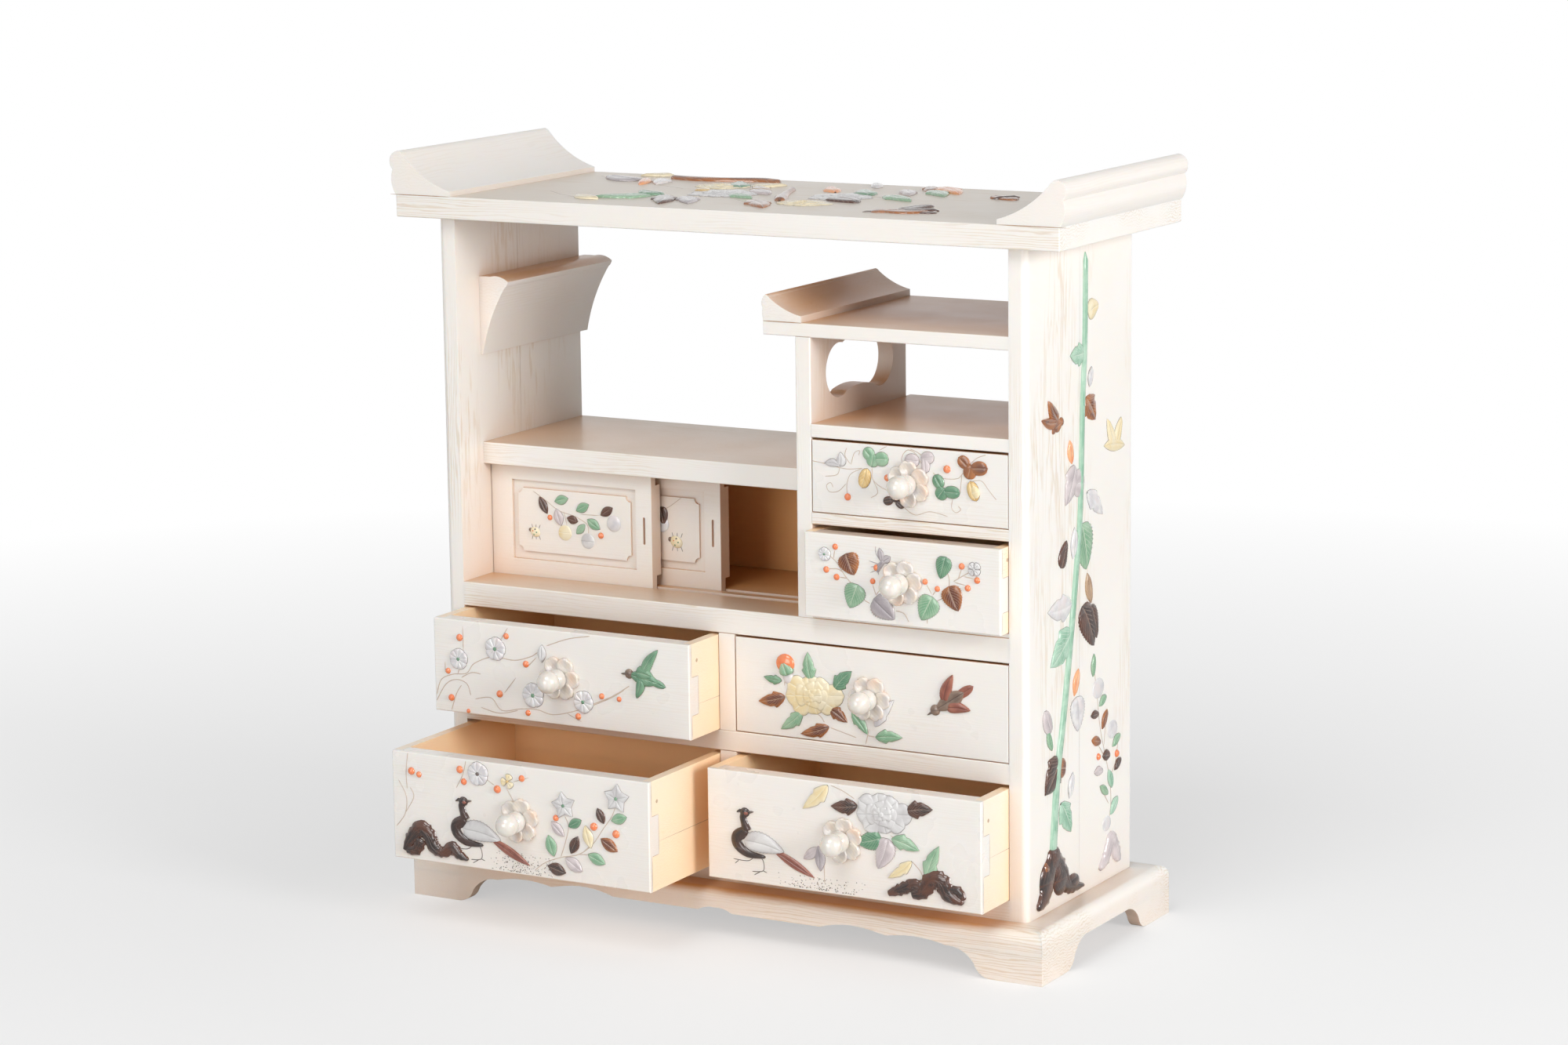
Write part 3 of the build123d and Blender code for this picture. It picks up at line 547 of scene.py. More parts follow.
    def peony(self, kind, x, y, half_x, half_y, lobes):
        """A full flower: three rings of overlapping petals that rise towards the middle."""
        mean = (half_x + half_y) / 2
        rings = ((1.0, 0.0, lobes, 0.2), (0.64, 0.24, lobes - 3, 0.6), (0.34, 0.44, 4, 0.1))
        for size, lift, count, start in rings:
            for k in range(count):
                angle = 2 * math.pi * (k + start) / count
                reach = size * (0.92 + 0.08 * math.sin(5 * angle + 2 * start))
                tip = (x + reach * half_x * math.cos(angle), y + reach * half_y * math.sin(angle))
                width = 6.4 * size * mean / count
                self.leaf(kind, "petal", (x, y), tip, width, 0.42, 0.0, lift + 0.07 * (k % 2))
        self.dome(kind, x, y, 0.1 * mean, relief=0.3, lift=0.85)

    def trefoil(self, kind, *lobes):
        """A leaf of three round lobes, each given by its base, its tip and its width."""
        for index, (base_x, base_y, tip_x, tip_y, width) in enumerate(lobes):
            self.leaf(kind, "round", (base_x, base_y), (tip_x, tip_y), width, 0.5 + 0.05 * index)

    def berries(self, *places):
        for x, y, radius in places:
            self.dome("coral", x, y, radius)

    def stipple(self, seed, count, low, high, thick):
        """Fine dots that crowd towards the foot of a patch of ground and towards one place along it."""
        draw = random.Random(seed)
        for _ in range(count):
            x = draw.triangular(low[0], high[0], thick)
            y = low[1] + (high[1] - low[1]) * draw.random() ** 1.6
            self.dome("ink", x, y, draw.uniform(0.09, 0.19), relief=0.04)

    def finish(self):
        """Turn each kind into one object that rides on the face's body."""
        for kind, shapes in self.kinds.items():
            build_piece(f"{self.name}_{kind}", shapes, self.body, *INLAYS[kind])


def smooth_line(points, widths, steps=7):
    """Points along a Catmull-Rom curve, with the width between them."""
    if len(points) == 2:
        steps = 4
    knots = [points[0], *points, points[-1]]
    line = []
    for k in range(len(points) - 1):
        p0, p1, p2, p3 = knots[k : k + 4]
        for i in range(steps):
            t = i / steps
            at = [
                0.5
                * (
                    2 * p1[a]
                    + (p2[a] - p0[a]) * t
                    + (2 * p0[a] - 5 * p1[a] + 4 * p2[a] - p3[a]) * t**2
                    + (3 * p1[a] - p0[a] - 3 * p2[a] + p3[a]) * t**3
                )
                for a in (0, 1)
            ]
            line.append((*at, widths[k] + (widths[k + 1] - widths[k]) * t))
    line.append((*points[-1], widths[-1]))
    return line


def build_piece(name, shapes, body, slot, material):
    """A smooth-shaded mesh object that rides on a CAD body."""
    points, faces, uvs = shapes
    mesh = bpy.data.meshes.new(name)
    mesh.from_pydata(points, [], faces)
    layer = mesh.uv_layers.new(name="UVMap")
    for loop in mesh.loops:
        layer.data[loop.index].uv = uvs[loop.vertex_index]
    mesh.polygons.foreach_set("use_smooth", [True] * len(mesh.polygons))
    mesh.materials.append(material)
    piece = add_object(name, mesh)
    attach(piece, body)
    return piece


# ---- Drawers: petals, corner joints and pegs ----
# Petals' turn in degrees; then, up the drawer's side, the tab's foot and top, the seam and the peg.
DRAWERS = {
    "column_upper_drawer": (30, 5.5, 14.5, 9, 19),
    "column_lower_drawer": (10, 6.5, 17, 10, 22),
    "upper_left_drawer": (0, 7.4, 19.4, 10.5, 24.3),
    "upper_right_drawer": (0, 7.4, 19.4, 12, 24.3),
    "lower_left_drawer": (15, 11, 23.4, 15, 27.6),
    "lower_right_drawer": (20, 11, 23.4, 16, 27.6),
}
PETAL_RING = 4.5
PETAL_RADIUS = 2.75
PETAL_AROUND = 28
PETAL_RISE = ((1.0, SUNK), (1.0, 0.75), (0.96, 1.02), (0.84, 1.08), (0.6, 0.92), (0.3, 0.74), (0.02, 0.66))
LAP = 1.4
FRONT_THICK = 5.4
PEG_BACK = 4.6
PEG_RADIUS = 0.6


def add_petals(drawer, turn):
    """Six cupped petals with notched tips, each lapping over the next, in place of the flat rosette."""
    low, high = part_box(f"{drawer}_rosette")
    centre = Vector(((low.x + high.x) / 2, high.y, (low.z + high.z) / 2))
    face = Face(f"{drawer}_petals", drawer, centre, RIGHT)
    for k in range(6):
        angle = math.radians(turn + 60 * k)
        rows = []
        for ring, height in PETAL_RISE:
            row = []
            for j in range(PETAL_AROUND):
                local = 2 * math.pi * j / PETAL_AROUND
                toward_tip = math.atan2(math.sin(local), math.cos(local))
                notch = 0.20 * math.exp(-((toward_tip / 0.22) ** 2))
                reach = PETAL_RADIUS * ring * (1 - notch * ring**3)
                px = PETAL_RING + reach * math.cos(local)
                py = reach * 1.02 * math.sin(local)
                lap = 0.22 * math.sin(local) * ring
                x = px * math.cos(angle) - py * math.sin(angle)
                y = px * math.sin(angle) + py * math.cos(angle)
                row.append((x, y, height + lap if height > 0 else SUNK, j / PETAL_AROUND, ring))
            rows.append(row)
        face.grid("pearl", rows, closed=True)
    face.dome("pearl", 0, 0, 3.4, relief=0.4, lift=0.5)
    piece = build_piece(f"{drawer}_petals", face.kinds["pearl"], drawer, "pearl", PEARL)
    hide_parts(f"{drawer}_rosette")


def side_face(name, body, low, high, side):
    """An upright face that looks right (side 1) or left (side -1), and its at function.

    at turns a distance from the front and a height into a place on the face.
    """
    depth = (high.y - low.y) / MM

    def at(s, z):
        return (s, z) if side > 0 else (depth - s, z)

    if side > 0:
        return Face(name, body, (high.x, low.y, low.z), (0, 1, 0)), at
    return Face(name, body, (low.x, high.y, low.z), (0, -1, 0)), at


def mark_drawer_sides(drawer, tab_low, tab_high, seam, peg):
    """The stepped corner joint, the seam and the peg on both outer sides of a drawer."""
    front_low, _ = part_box(f"{drawer}_front")
    low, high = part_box(f"{drawer}_sides")
    low = Vector((low.x, front_low.y, low.z))
    length, height = (high.y - low.y) / MM, (high.z - low.z) / MM
    for side, word in ((-1, "left"), (1, "right")):
        face, at = side_face(f"{drawer}_{word}_joint", drawer, low, high, side)
        for line in (
            (LAP, 0.2, LAP, tab_low),
            (LAP, tab_low, FRONT_THICK, tab_low),
            (FRONT_THICK, tab_low, FRONT_THICK, tab_high),
            (LAP, tab_high, FRONT_THICK, tab_high),
            (LAP, tab_high, LAP, height - 0.2),
            (FRONT_THICK, seam, length - 0.3, seam),
        ):
            face.stroke("seam", line, 0.14, 0.012, at=at)
        face.dome("peg", *at(PEG_BACK, peg), PEG_RADIUS, relief=0.08)
        face.finish()


# ---- The faces that carry inlay ----
def front_face(name):
    low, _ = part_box(f"{name}_front")
    return Face(f"{name}_inlay", name, low, RIGHT)


def midway(first, second):
    return ((first[0] + second[0]) / 2, (first[1] + second[1]) / 2)


def flying_bird(face, head, beak, tail, spread, kinds, body_width):
    """A bird on the wing; spread gives each wing as its root, its tip and its width."""
    body_kind, wing_kind, head_kind = kinds
    middle = midway(head, tail[0])
    face.leaf(wing_kind, "petal", middle, tail[1], tail[2], 0.45)
    face.leaf(body_kind, "oval", head, midway(tail[0], tail[1]), body_width, 0.7)
    for root, tip, width in spread:
        face.leaf(wing_kind, "heart", midway(root, middle), tip, width, 0.85, 0.06)
    face.dome(head_kind, *head, body_width * 0.34, relief=0.8)
    face.stroke("ink", (*head, *beak), (body_width * 0.3, 0.15), 0.4)


def pheasant(face, x, y):
    """A long-tailed bird that stands on two thin legs; x, y is the middle of its breast."""

    def at(dx, dy):
        return (x + dx, y + dy)

    face.stroke("horn", (4.4, 9.6, 3.3, 8.2, 3.8, 5.8, 4.6, 3.6), (2.2, 2.3, 2.5, 3.8), 0.7, at=at)
    breast = (5, 3.6, 1.2, 1.8, 1.4, -1, 5, -3.4, 11, -3.8)
    face.stroke("horn", breast, (3.8, 3.8, 3.6, 2.6, 0.8), 0.6, at=at)
    face.dome("horn", *at(3.9, 9.4), 1.7, 1.5, 0.9)
    face.dome("rust", *at(4.6, 9.3), 0.7, 0.5, 0.3, 0, 0.75)
    face.stroke("horn", (2.6, 10.1, 1, 9.2), (1.2, 0.3), 0.4, at=at)
    face.stroke("ink", (5.4, 9.6, 7, 9.9), (1.1, 0.2), 0.5, at=at)
    face.leaf("rust", "oval", at(13, -0.8), at(28, -8.2), 2.9, 0.4)
    face.leaf("white", "heart", at(3.6, 0.8), at(17.4, -1.4), 6.4, 0.8, 0.05)
    face.stems(
        (7.4, -3.4, 5, -5.6, -0.4, -5.6), (1.6, -5.8, 0.2, -7),
        (9, -3.8, 10.2, -5.4, 10, -8.2, 6.2, -8.8), (10, -8.2, 11.4, -8.6), (9.2, -8.5, 6.8, -9.9),
        kind="ink", width=0.26, at=at,
    )


def dress_column_upper():
    """Beans and tendrils with a white moth."""
    face = front_face("column_upper_drawer")
    for kind, *lobes in (
        ("leaf", (21, 17.6, 18, 20.6, 4), (21.3, 19.2, 20.4, 15.2, 4.2), (21.4, 17.6, 26.2, 18, 4.4)),
        ("brown", (53, 17.4, 49.6, 20.4, 3.8), (53.8, 18.4, 52.8, 13.9, 4.4), (53.6, 17.2, 59.2, 17.6, 4.4)),
        ("green", (44, 10.6, 41.6, 14.4, 3.8), (45, 10.6, 42.6, 7.4, 4.2), (44.6, 9.6, 50, 9.6, 3.8)),
        ("dark", (27.6, 5.8, 24.3, 5, 2.8), (27.4, 5.2, 28.9, 8, 2.4), (28.6, 5.6, 31.2, 3.6, 2.2)),
        ("lilac", (36.6, 18.2, 31.6, 18.2, 4), (37, 18.8, 41.4, 19.8, 3.8), (38.4, 19.4, 38.8, 14.8, 2.8)),
    ):
        face.trefoil(kind, *lobes)
    face.leaf("amber", "round", (19, 14.6), (17.2, 8.6), 4, 0.7)
    face.leaf("amber", "round", (53.4, 13.4), (55.4, 7.6), 3.8, 0.7)
    face.dome("yellow", 55.3, 10.3, 1.2, 1.9, 0.3, 15, 0.6)
    face.leaf("white", "heart", (9.6, 14.6), (9.9, 18.9), 3.2, 0.5, -0.1)
    face.leaf("white", "oval", (9.8, 14.8), (4.4, 15.2), 2.4, 0.5, -0.1)
    face.berries((12.2, 5.5, 1.1), (25.7, 12.3, 1.05), (45.7, 16.4, 1.2))
    face.stems(
        (0, 15.6, 5, 15, 9.4, 14.2, 13, 14, 17, 14.6), (9.6, 14.4, 8.6, 12, 4.5, 11.2),
        (12, 6.5, 12, 9.5, 13.4, 12.6, 17.4, 14.6), (11.6, 9.4, 9, 7, 6, 6.6, 5, 8.4, 6.4, 9.4, 7.2, 8),
        (13.4, 15.4, 14.6, 19, 16.4, 19.8, 16, 18.4), (13.2, 15.6, 11.4, 18, 12, 20.4),
        (20.6, 15, 20.8, 11.6, 23, 9.6, 27, 8), (21, 11, 22.4, 7.6, 20, 5.8), (23, 20.4, 25.6, 21.8),
        (31.4, 15, 30.6, 18.6, 32.6, 21.2, 35.6, 20, 37.8, 16), (33.4, 21.6, 36.8, 20.2, 37.8, 17.4),
        (41, 15, 44, 13.6, 49, 13.8, 51, 15.6, 55, 20, 58.6, 21.6), (50.6, 15, 50.2, 11, 50, 9.6),
        (53.6, 13.2, 57, 13.8, 59.6, 11, 62, 8.4), (31, 4, 35, 1.8, 40, 3.2, 46, 2.2),
        (47.6, 7.6, 47.2, 5, 48.6, 3.6, 50.2, 4.6, 49.4, 5.6),
    )
    face.finish()


def dress_column_lower():
    """Heart-shaped leaves, berries and a bee."""
    face = front_face("column_lower_drawer")
    face.leaves(
        0.5, 0,
        ("brown heart", 14.2, 20.4, 17, 14, 7.4), ("leaf heart", 18.2, 11.2, 15.4, 3.9, 7.2),
        ("grey heart", 23.6, 7.4, 30.6, 1.8, 7.6), ("leaf heart", 43.4, 9.7, 39.6, 2.4, 7.2),
        ("green heart", 47.8, 22.2, 46, 15.5, 5.2), ("brown heart", 48.6, 13.4, 52, 6.2, 7),
    )
    face.blossom(7, 19.6, 2.1, 20)
    face.blossom(57.3, 19.3, 2.2, 45, "white", 4, "white")
    face.leaf("grey", "oval", (26.6, 18.8), (25.6, 23), 2, 0.3)
    face.leaf("grey", "oval", (26.6, 18.8), (29.3, 20.6), 2.4, 0.3)
    face.stroke("grey", (27.2, 19.2, 25.6, 17.4, 25, 15.6), (1.2, 1.7, 0.6), 0.6)
    face.stems(
        (25.8, 18, 22, 18.8), (25.6, 17.4, 22.6, 17), (25.2, 16.4, 22.4, 15.2),
        (26, 19, 24.4, 21.4, 24.4, 23.4), (27.2, 18.6, 29.6, 18.4), (25, 15.8, 25.4, 14.8),
        kind="grey",
    )
    face.berries(
        (10.6, 22.1, 0.95), (7.5, 14.9, 1), (11, 12.9, 1), (24.6, 16.9, 1), (23.3, 12.7, 0.9),
        (26.2, 10.6, 0.85), (40.9, 14.1, 0.9), (45, 12.3, 0.9), (53.1, 19.8, 1), (58.2, 16, 1), (55.1, 13.4, 1),
    )
    face.stems(
        (8.4, 19.4, 11, 17.4, 14, 13.4, 16.4, 11.2), (10.4, 21, 10, 18.4), (8.4, 15.2, 11.4, 15.4, 13, 14.6),
        (12, 13, 14.6, 12.8), (20, 6.8, 22.4, 5.8), (23.2, 11.8, 24.4, 8.4), (25.4, 10, 24.4, 8.6),
        (31, 4.4, 33.8, 3.8, 35.4, 1.4), (41.4, 13.4, 43.2, 10.4), (44.4, 11.6, 43.4, 10.2),
        (44.8, 8.6, 48.4, 10.4), (49, 13.4, 48.8, 16.4, 47.4, 18.4), (50.4, 15, 53.6, 17, 56.4, 18.6),
        (52, 16, 53, 18.8), (53.8, 16.8, 57.2, 16.4), (50.6, 14.8, 54.4, 14.2), (41.6, 3.8, 41.6, 1.4),
        width=0.3,
    )
    face.finish()


def dress_upper_left():
    """Plum branches in blossom, berries and a green bird."""
    face = front_face("upper_left_drawer")
    for flower in ((9.2, 17.3, 3.4, 10), (23.1, 21.9, 3.8, 80), (36.8, 8.4, 4, 30), (55.2, 8.2, 3.6, 60)):
        face.blossom(*flower)
    face.leaf("white", "oval", (40.2, 19.2), (40.4, 24.8), 3, 0.6)
    face.berries(
        (9.7, 24.2, 1.15), (27.2, 26.3, 1), (5.1, 13.1, 0.95), (34.3, 18.1, 1.1), (43.6, 20.1, 0.85),
        (24.3, 7.6, 1.15), (6.1, 4.6, 1.1), (34.7, 2.6, 0.95), (61.9, 10.7, 0.95), (68.2, 10.4, 0.85),
        (53.2, 3.4, 1.05), (12.4, 0.9, 0.7),
    )
    face.stems(
        (0.5, 5, 2.4, 10, 7, 12.2, 12, 13, 15, 16.4, 22, 19.2, 30, 18.9, 36, 20.6, 38.6, 22.2),
        (0.4, 3, 4, 8.6, 8, 10.6, 12, 9.6, 13.4, 6), (10, 11.4, 14, 13.4, 17.4, 13.2),
        (42, 24.6, 50, 27.6, 58, 29.2),
        (15, 5, 21, 6, 25, 2.4, 32, 3.6, 38, 4, 44, 3, 52, 5, 58, 7.6, 66, 11.2, 72, 15),
        (17, 2.6, 24, 1.4, 31, 3), (58, 7.2, 65, 10.4, 70, 13.4), (26, 8, 30.5, 13.4), (11, 28, 11, 20),
        (25.2, 25, 27.8, 29), (8.6, 12.2, 10, 16), (4, 12.4, 4, 16), (6, 0.5, 8, 6, 10, 9),
        (35, 17.4, 38.2, 20.6), (49, 4, 54.4, 1.8),
        width=0.3,
    )
    wings = (((78, 20), (82.4, 27.2), 3.4), ((76.4, 17.4), (74.6, 11.4), 3), ((72.6, 20.6), (80.6, 18.6), 4.4))
    tail = ((80.4, 17.8), (85, 15.8), 2.4)
    flying_bird(face, (72, 18.8), (69, 18.6), tail, wings, ("green", "green", "dun"), 4.6)
    face.finish()


def dress_upper_right():
    """A yellow peony with its leaves, and a brown bird."""
    face = front_face("upper_right_drawer")
    face.peony("yellow", 27, 13.9, 11.2, 6.4, 8)
    face.dome("coral", 17.6, 23, 3.2, 3, 1.3)
    face.leaf("leaf", "heart", (18.6, 19.4), (17.2, 23.8), 4.6, 0.8, 0, 0.55)
    face.dome("pearl", 18.8, 18.4, 1.9, 1.9, 0.5)
    face.leaves(
        0.55, 0.04,
        ("green ivy", 16.2, 17.5, 10, 18.2, 3.2), ("leaf ivy", 26.6, 18.6, 25.4, 27.3, 5.2),
        ("green ivy", 34.6, 16.6, 40.6, 22.8, 5.6), ("brown ivy", 17.4, 12.6, 8, 10.3, 5.4),
        ("brown ivy", 33, 10.4, 39, 6.8, 4.8), ("leaf ivy", 23.4, 8.4, 15.8, 2.3, 4.8),
        ("brown ivy", 32.6, 4.8, 22.7, 1.6, 4.8), ("leaf ivy", 40.6, 10, 46, 3.8, 4.4),
        ("leaf ivy", 48.7, 3.2, 57.8, 4, 4.6), ("pearl ivy", 48.4, 6.6, 55, 15.4, 4.4),
    )
    face.stems(
        (17.6, 20, 17.2, 16), (24, 8.6, 26.4, 10.4), (27, 9, 29.6, 7.8, 31, 6),
        (33, 4.6, 38, 3.4, 42, 2.4), (46.4, 5.4, 45.2, 0.6), (46, 3.4, 48.6, 3.3),
        width=0.3,
    )
    wings = (((71.2, 16.6), (74.9, 25.2), 3.8), ((73, 13.8), (80.8, 14.8), 3.6))
    tail = ((76.6, 18.6), (81.8, 22.4), 3)
    flying_bird(face, (69, 13.8), (66.2, 11.9), tail, wings, ("dun", "rust", "dun"), 5)
    face.finish()


def dress_lower_left():
    """A bird by a rock, star flowers, a leafy spray and a sprig of plum."""
    face = front_face("lower_left_drawer")
    rock = (4, 2.6, 6.4, 6.6, 10, 10.2, 13, 8.8, 15, 5, 18.4, 3.6, 21.8, 5.4, 24.4, 3.6, 27.8, 2.4)
    face.stroke("rock", rock, (1.2, 4.4, 5.6, 5.2, 4.8, 3.2, 4.6, 3.4, 0.8), 1, 0.09)
    face.stroke("rock", (4.6, 3, 8.2, 3.4, 10.4, 7), (2.4, 4, 4), 0.9, 0.1)
    pheasant(face, 22.4, 11.4)
    face.stipple(5, 210, (35, 0.7), (61, 6.6), 48)
    face.blossom(32, 30.2, 3.8, 25, centre="ink")
    face.blossom(42.8, 29, 2.4, 70, "yellow", 3, "amber")
    face.star(63, 23.7, 4.4, 100)
    face.star(82, 28.1, 4.6, 86)
    face.leaves(
        0.55, 0,
        ("green", 64.6, 17.3, 69.3, 19.9, 2.6), ("lilac", 63, 14.1, 58.4, 18.2, 2.8),
        ("leaf", 59.2, 7.3, 57.2, 13.8, 3.4), ("dark", 65.3, 8.9, 68, 14.7, 3),
        ("yellow", 72.6, 11.5, 70.6, 18.4, 3.2), ("dark", 77.4, 19.7, 75.1, 24.4, 2.6),
        ("leaf", 80, 21, 85.5, 22.7, 2.9), ("brown", 76.1, 15, 82.1, 11.6, 3.4),
        ("leaf", 71.4, 9.5, 77.6, 7.2, 3.2), ("lilac", 63.2, 7.4, 69.3, 3.8, 3.6),
        ("dark", 56.8, 4.2, 63.4, 2.6, 3.5),
        broad=1.15,
    )
    face.berries(
        (7.2, 28.3, 1.2), (10, 27.5, 0.95), (25.3, 30.8, 1.2), (26.7, 27.1, 1.05), (39, 26.1, 1.25),
        (48, 30.5, 1.05), (60.1, 19.5, 1), (73.7, 18.4, 1.25), (81.6, 17, 1.25),
    )
    face.stems(
        (52, 2, 56, 5, 62, 7.4, 68, 9, 73, 12.6, 77, 18, 80, 22, 81.4, 25),
        (61.6, 7.4, 63.6, 13, 64.6, 17.4, 63.4, 20.4), (68, 9, 71.6, 9.4), (70, 10.2, 72, 12),
        (27.6, 33.8, 26.4, 29.4, 23.8, 24.8), (35, 28.8, 38, 27.2), (42, 27.4, 45.4, 22),
        (44.6, 29, 50.6, 31), (6, 34, 5.2, 28, 5.4, 22.4), (1, 10, 4.4, 14.4, 5, 20, 2.2, 25),
        (4.4, 14.6, 7.8, 20, 6.6, 23),
        width=0.26,
    )
    face.finish()


def dress_lower_right():
    """A white peony over a rock, and a long-tailed bird."""
    face = front_face("lower_right_drawer")
    face.peony("white", 60.4, 26.8, 10.4, 6.6, 8)
    pheasant(face, 9.2, 12.4)
    ridge = (70.2, 3.4, 73.6, 4.6, 77, 8.6, 80.2, 8.2, 82.6, 4.6, 87.6, 2.8)
    face.stroke("rock", (62.2, 2.6, 66, 4.2, 70.6, 6.2, 74, 6.2), (1.6, 3.6, 4.2, 3), 0.85, 0.1)
    face.stroke("rock", ridge, (2.6, 4.8, 6, 6.2, 4.8, 1.4), 1, 0.09)
    face.stroke("rock", (82.4, 6, 85.8, 6.2, 87.6, 3.6), (2.6, 3.2, 1.8), 0.8, 0.1)
    face.stipple(9, 150, (22.5, 0.8), (55, 4.6), 39)
    face.leaves(
        0.6, 0.04,
        ("yellow ivy", 41.9, 33.4, 33.3, 25.4, 5.2), ("dark ivy", 52, 28.4, 42.9, 27.3, 5.6),
        ("dark ivy", 68.6, 28.6, 77.4, 30.1, 6), ("green heart", 60, 19.4, 51.6, 17.2, 5.8),
        ("lilac heart", 62.4, 19.4, 58.8, 9.9, 6.4), ("leaf ivy", 63.6, 19.6, 72.8, 17, 5.4),
        ("yellow ivy", 70.2, 13.4, 62.2, 7.4, 3.8), ("leaf ivy", 75.2, 8.8, 79.4, 19.2, 5.4),
        ("lilac", 38.4, 14, 33.4, 9.8, 3), ("grey", 38.4, 14.4, 39.2, 6.6, 3.4),
    )
    face.stems(
        (40.4, 9.6, 40.6, 2.6), (70.4, 13.4, 73.2, 10.6, 74.6, 7), (43, 33.6, 47, 32.4, 51, 30.4),
        (66, 19.2, 63, 20.6),
        width=0.26,
    )
    face.finish()


PANEL_DROP = 0.3


def door_face(name):
    """The raised panel of a door, measured from the door's left edge and the waist board's top."""
    low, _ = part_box(name)
    waist_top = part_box("waist_board")[1].z
    return Face(f"{name}_inlay", name, (low.x, low.y + PANEL_DROP * MM, waist_top), RIGHT)


def ladybird(face, x, y, half):
    """A small spotted beetle."""
    face.dome("yellow", x, y, half, half * 0.8, 0.7, -25)
    for dx, dy, kind in ((-0.3, 0.2, "coral"), (0.4, 0, "green"), (-0.1, -0.4, "green"), (0.1, 0.5, "ink")):
        face.dome(kind, x + dx * half, y + dy * half, 0.28, relief=0.2, lift=0.55)
    for side in (-1, 1):
        for reach in (-0.5, 0.1, 0.7):
            foot = (x + reach * half * 1.4, y + side * half * 1.3)
            face.stroke("ink", (x + reach * half, y + side * half * 0.6, *foot), 0.2, 0.05)
    face.dome("dun", x - half * 0.95, y + half * 0.3, half * 0.35, relief=0.4)


def spray(face, shift):
    """Small oval leaves, seed discs and berries, shifted along the door."""

    def at(x, y):
        return (x + shift, y)

    face.leaves(
        0.45, 0,
        ("dark", 20.7, 20.6, 17.8, 26, 2.8), ("leaf", 23.5, 24.8, 28.6, 26.2, 2.8),
        ("lilac", 25.8, 17.2, 24, 22.5, 3.2), ("dark", 28, 19.9, 32.2, 19, 2.6),
        ("leaf", 31.5, 22.4, 36.3, 24.8, 2.8), ("leaf", 31.5, 15, 34.7, 18.3, 2.3),
        ("leaf", 35.6, 20, 40.3, 17.2, 3), ("dark", 40.6, 21.7, 45.2, 24.5, 2.8),
        broad=1.1, at=at,
    )
    face.dome("yellow", *at(27.2, 15), 2.5, relief=0.35)
    face.dome("white", *at(35.7, 13), 2.5, relief=0.35)
    face.dome("pearl", *at(45.5, 19.4), 2.6, relief=0.45)
    face.berries((*at(21.6, 19.5), 0.9), (*at(40.6, 15.2), 1))
    face.stems(
        (15.4, 27.6, 20, 25, 25, 22, 31, 20.6, 35.4, 18.4, 36, 15.4), (26.8, 22, 28, 17.4),
        (33, 21.4, 40.4, 21.6),
        at=at,
    )


def dress_doors():
    """Both doors carry the same spray, each with a small beetle."""
    front = door_face("door_front")
    spray(front, 0)
    ladybird(front, 16, 14.4, 1.9)
    front.finish()
    rear = door_face("door_rear")
    spray(rear, -4)
    rear.leaf("dark", "heart", (41.2, 25), (42.4, 19), 4.2, 0.5)
    rear.stems((48.8, 28.4, 44, 25, 41.4, 24.2))
    ladybird(rear, 46.7, 14.1, 2.3)
    rear.finish()


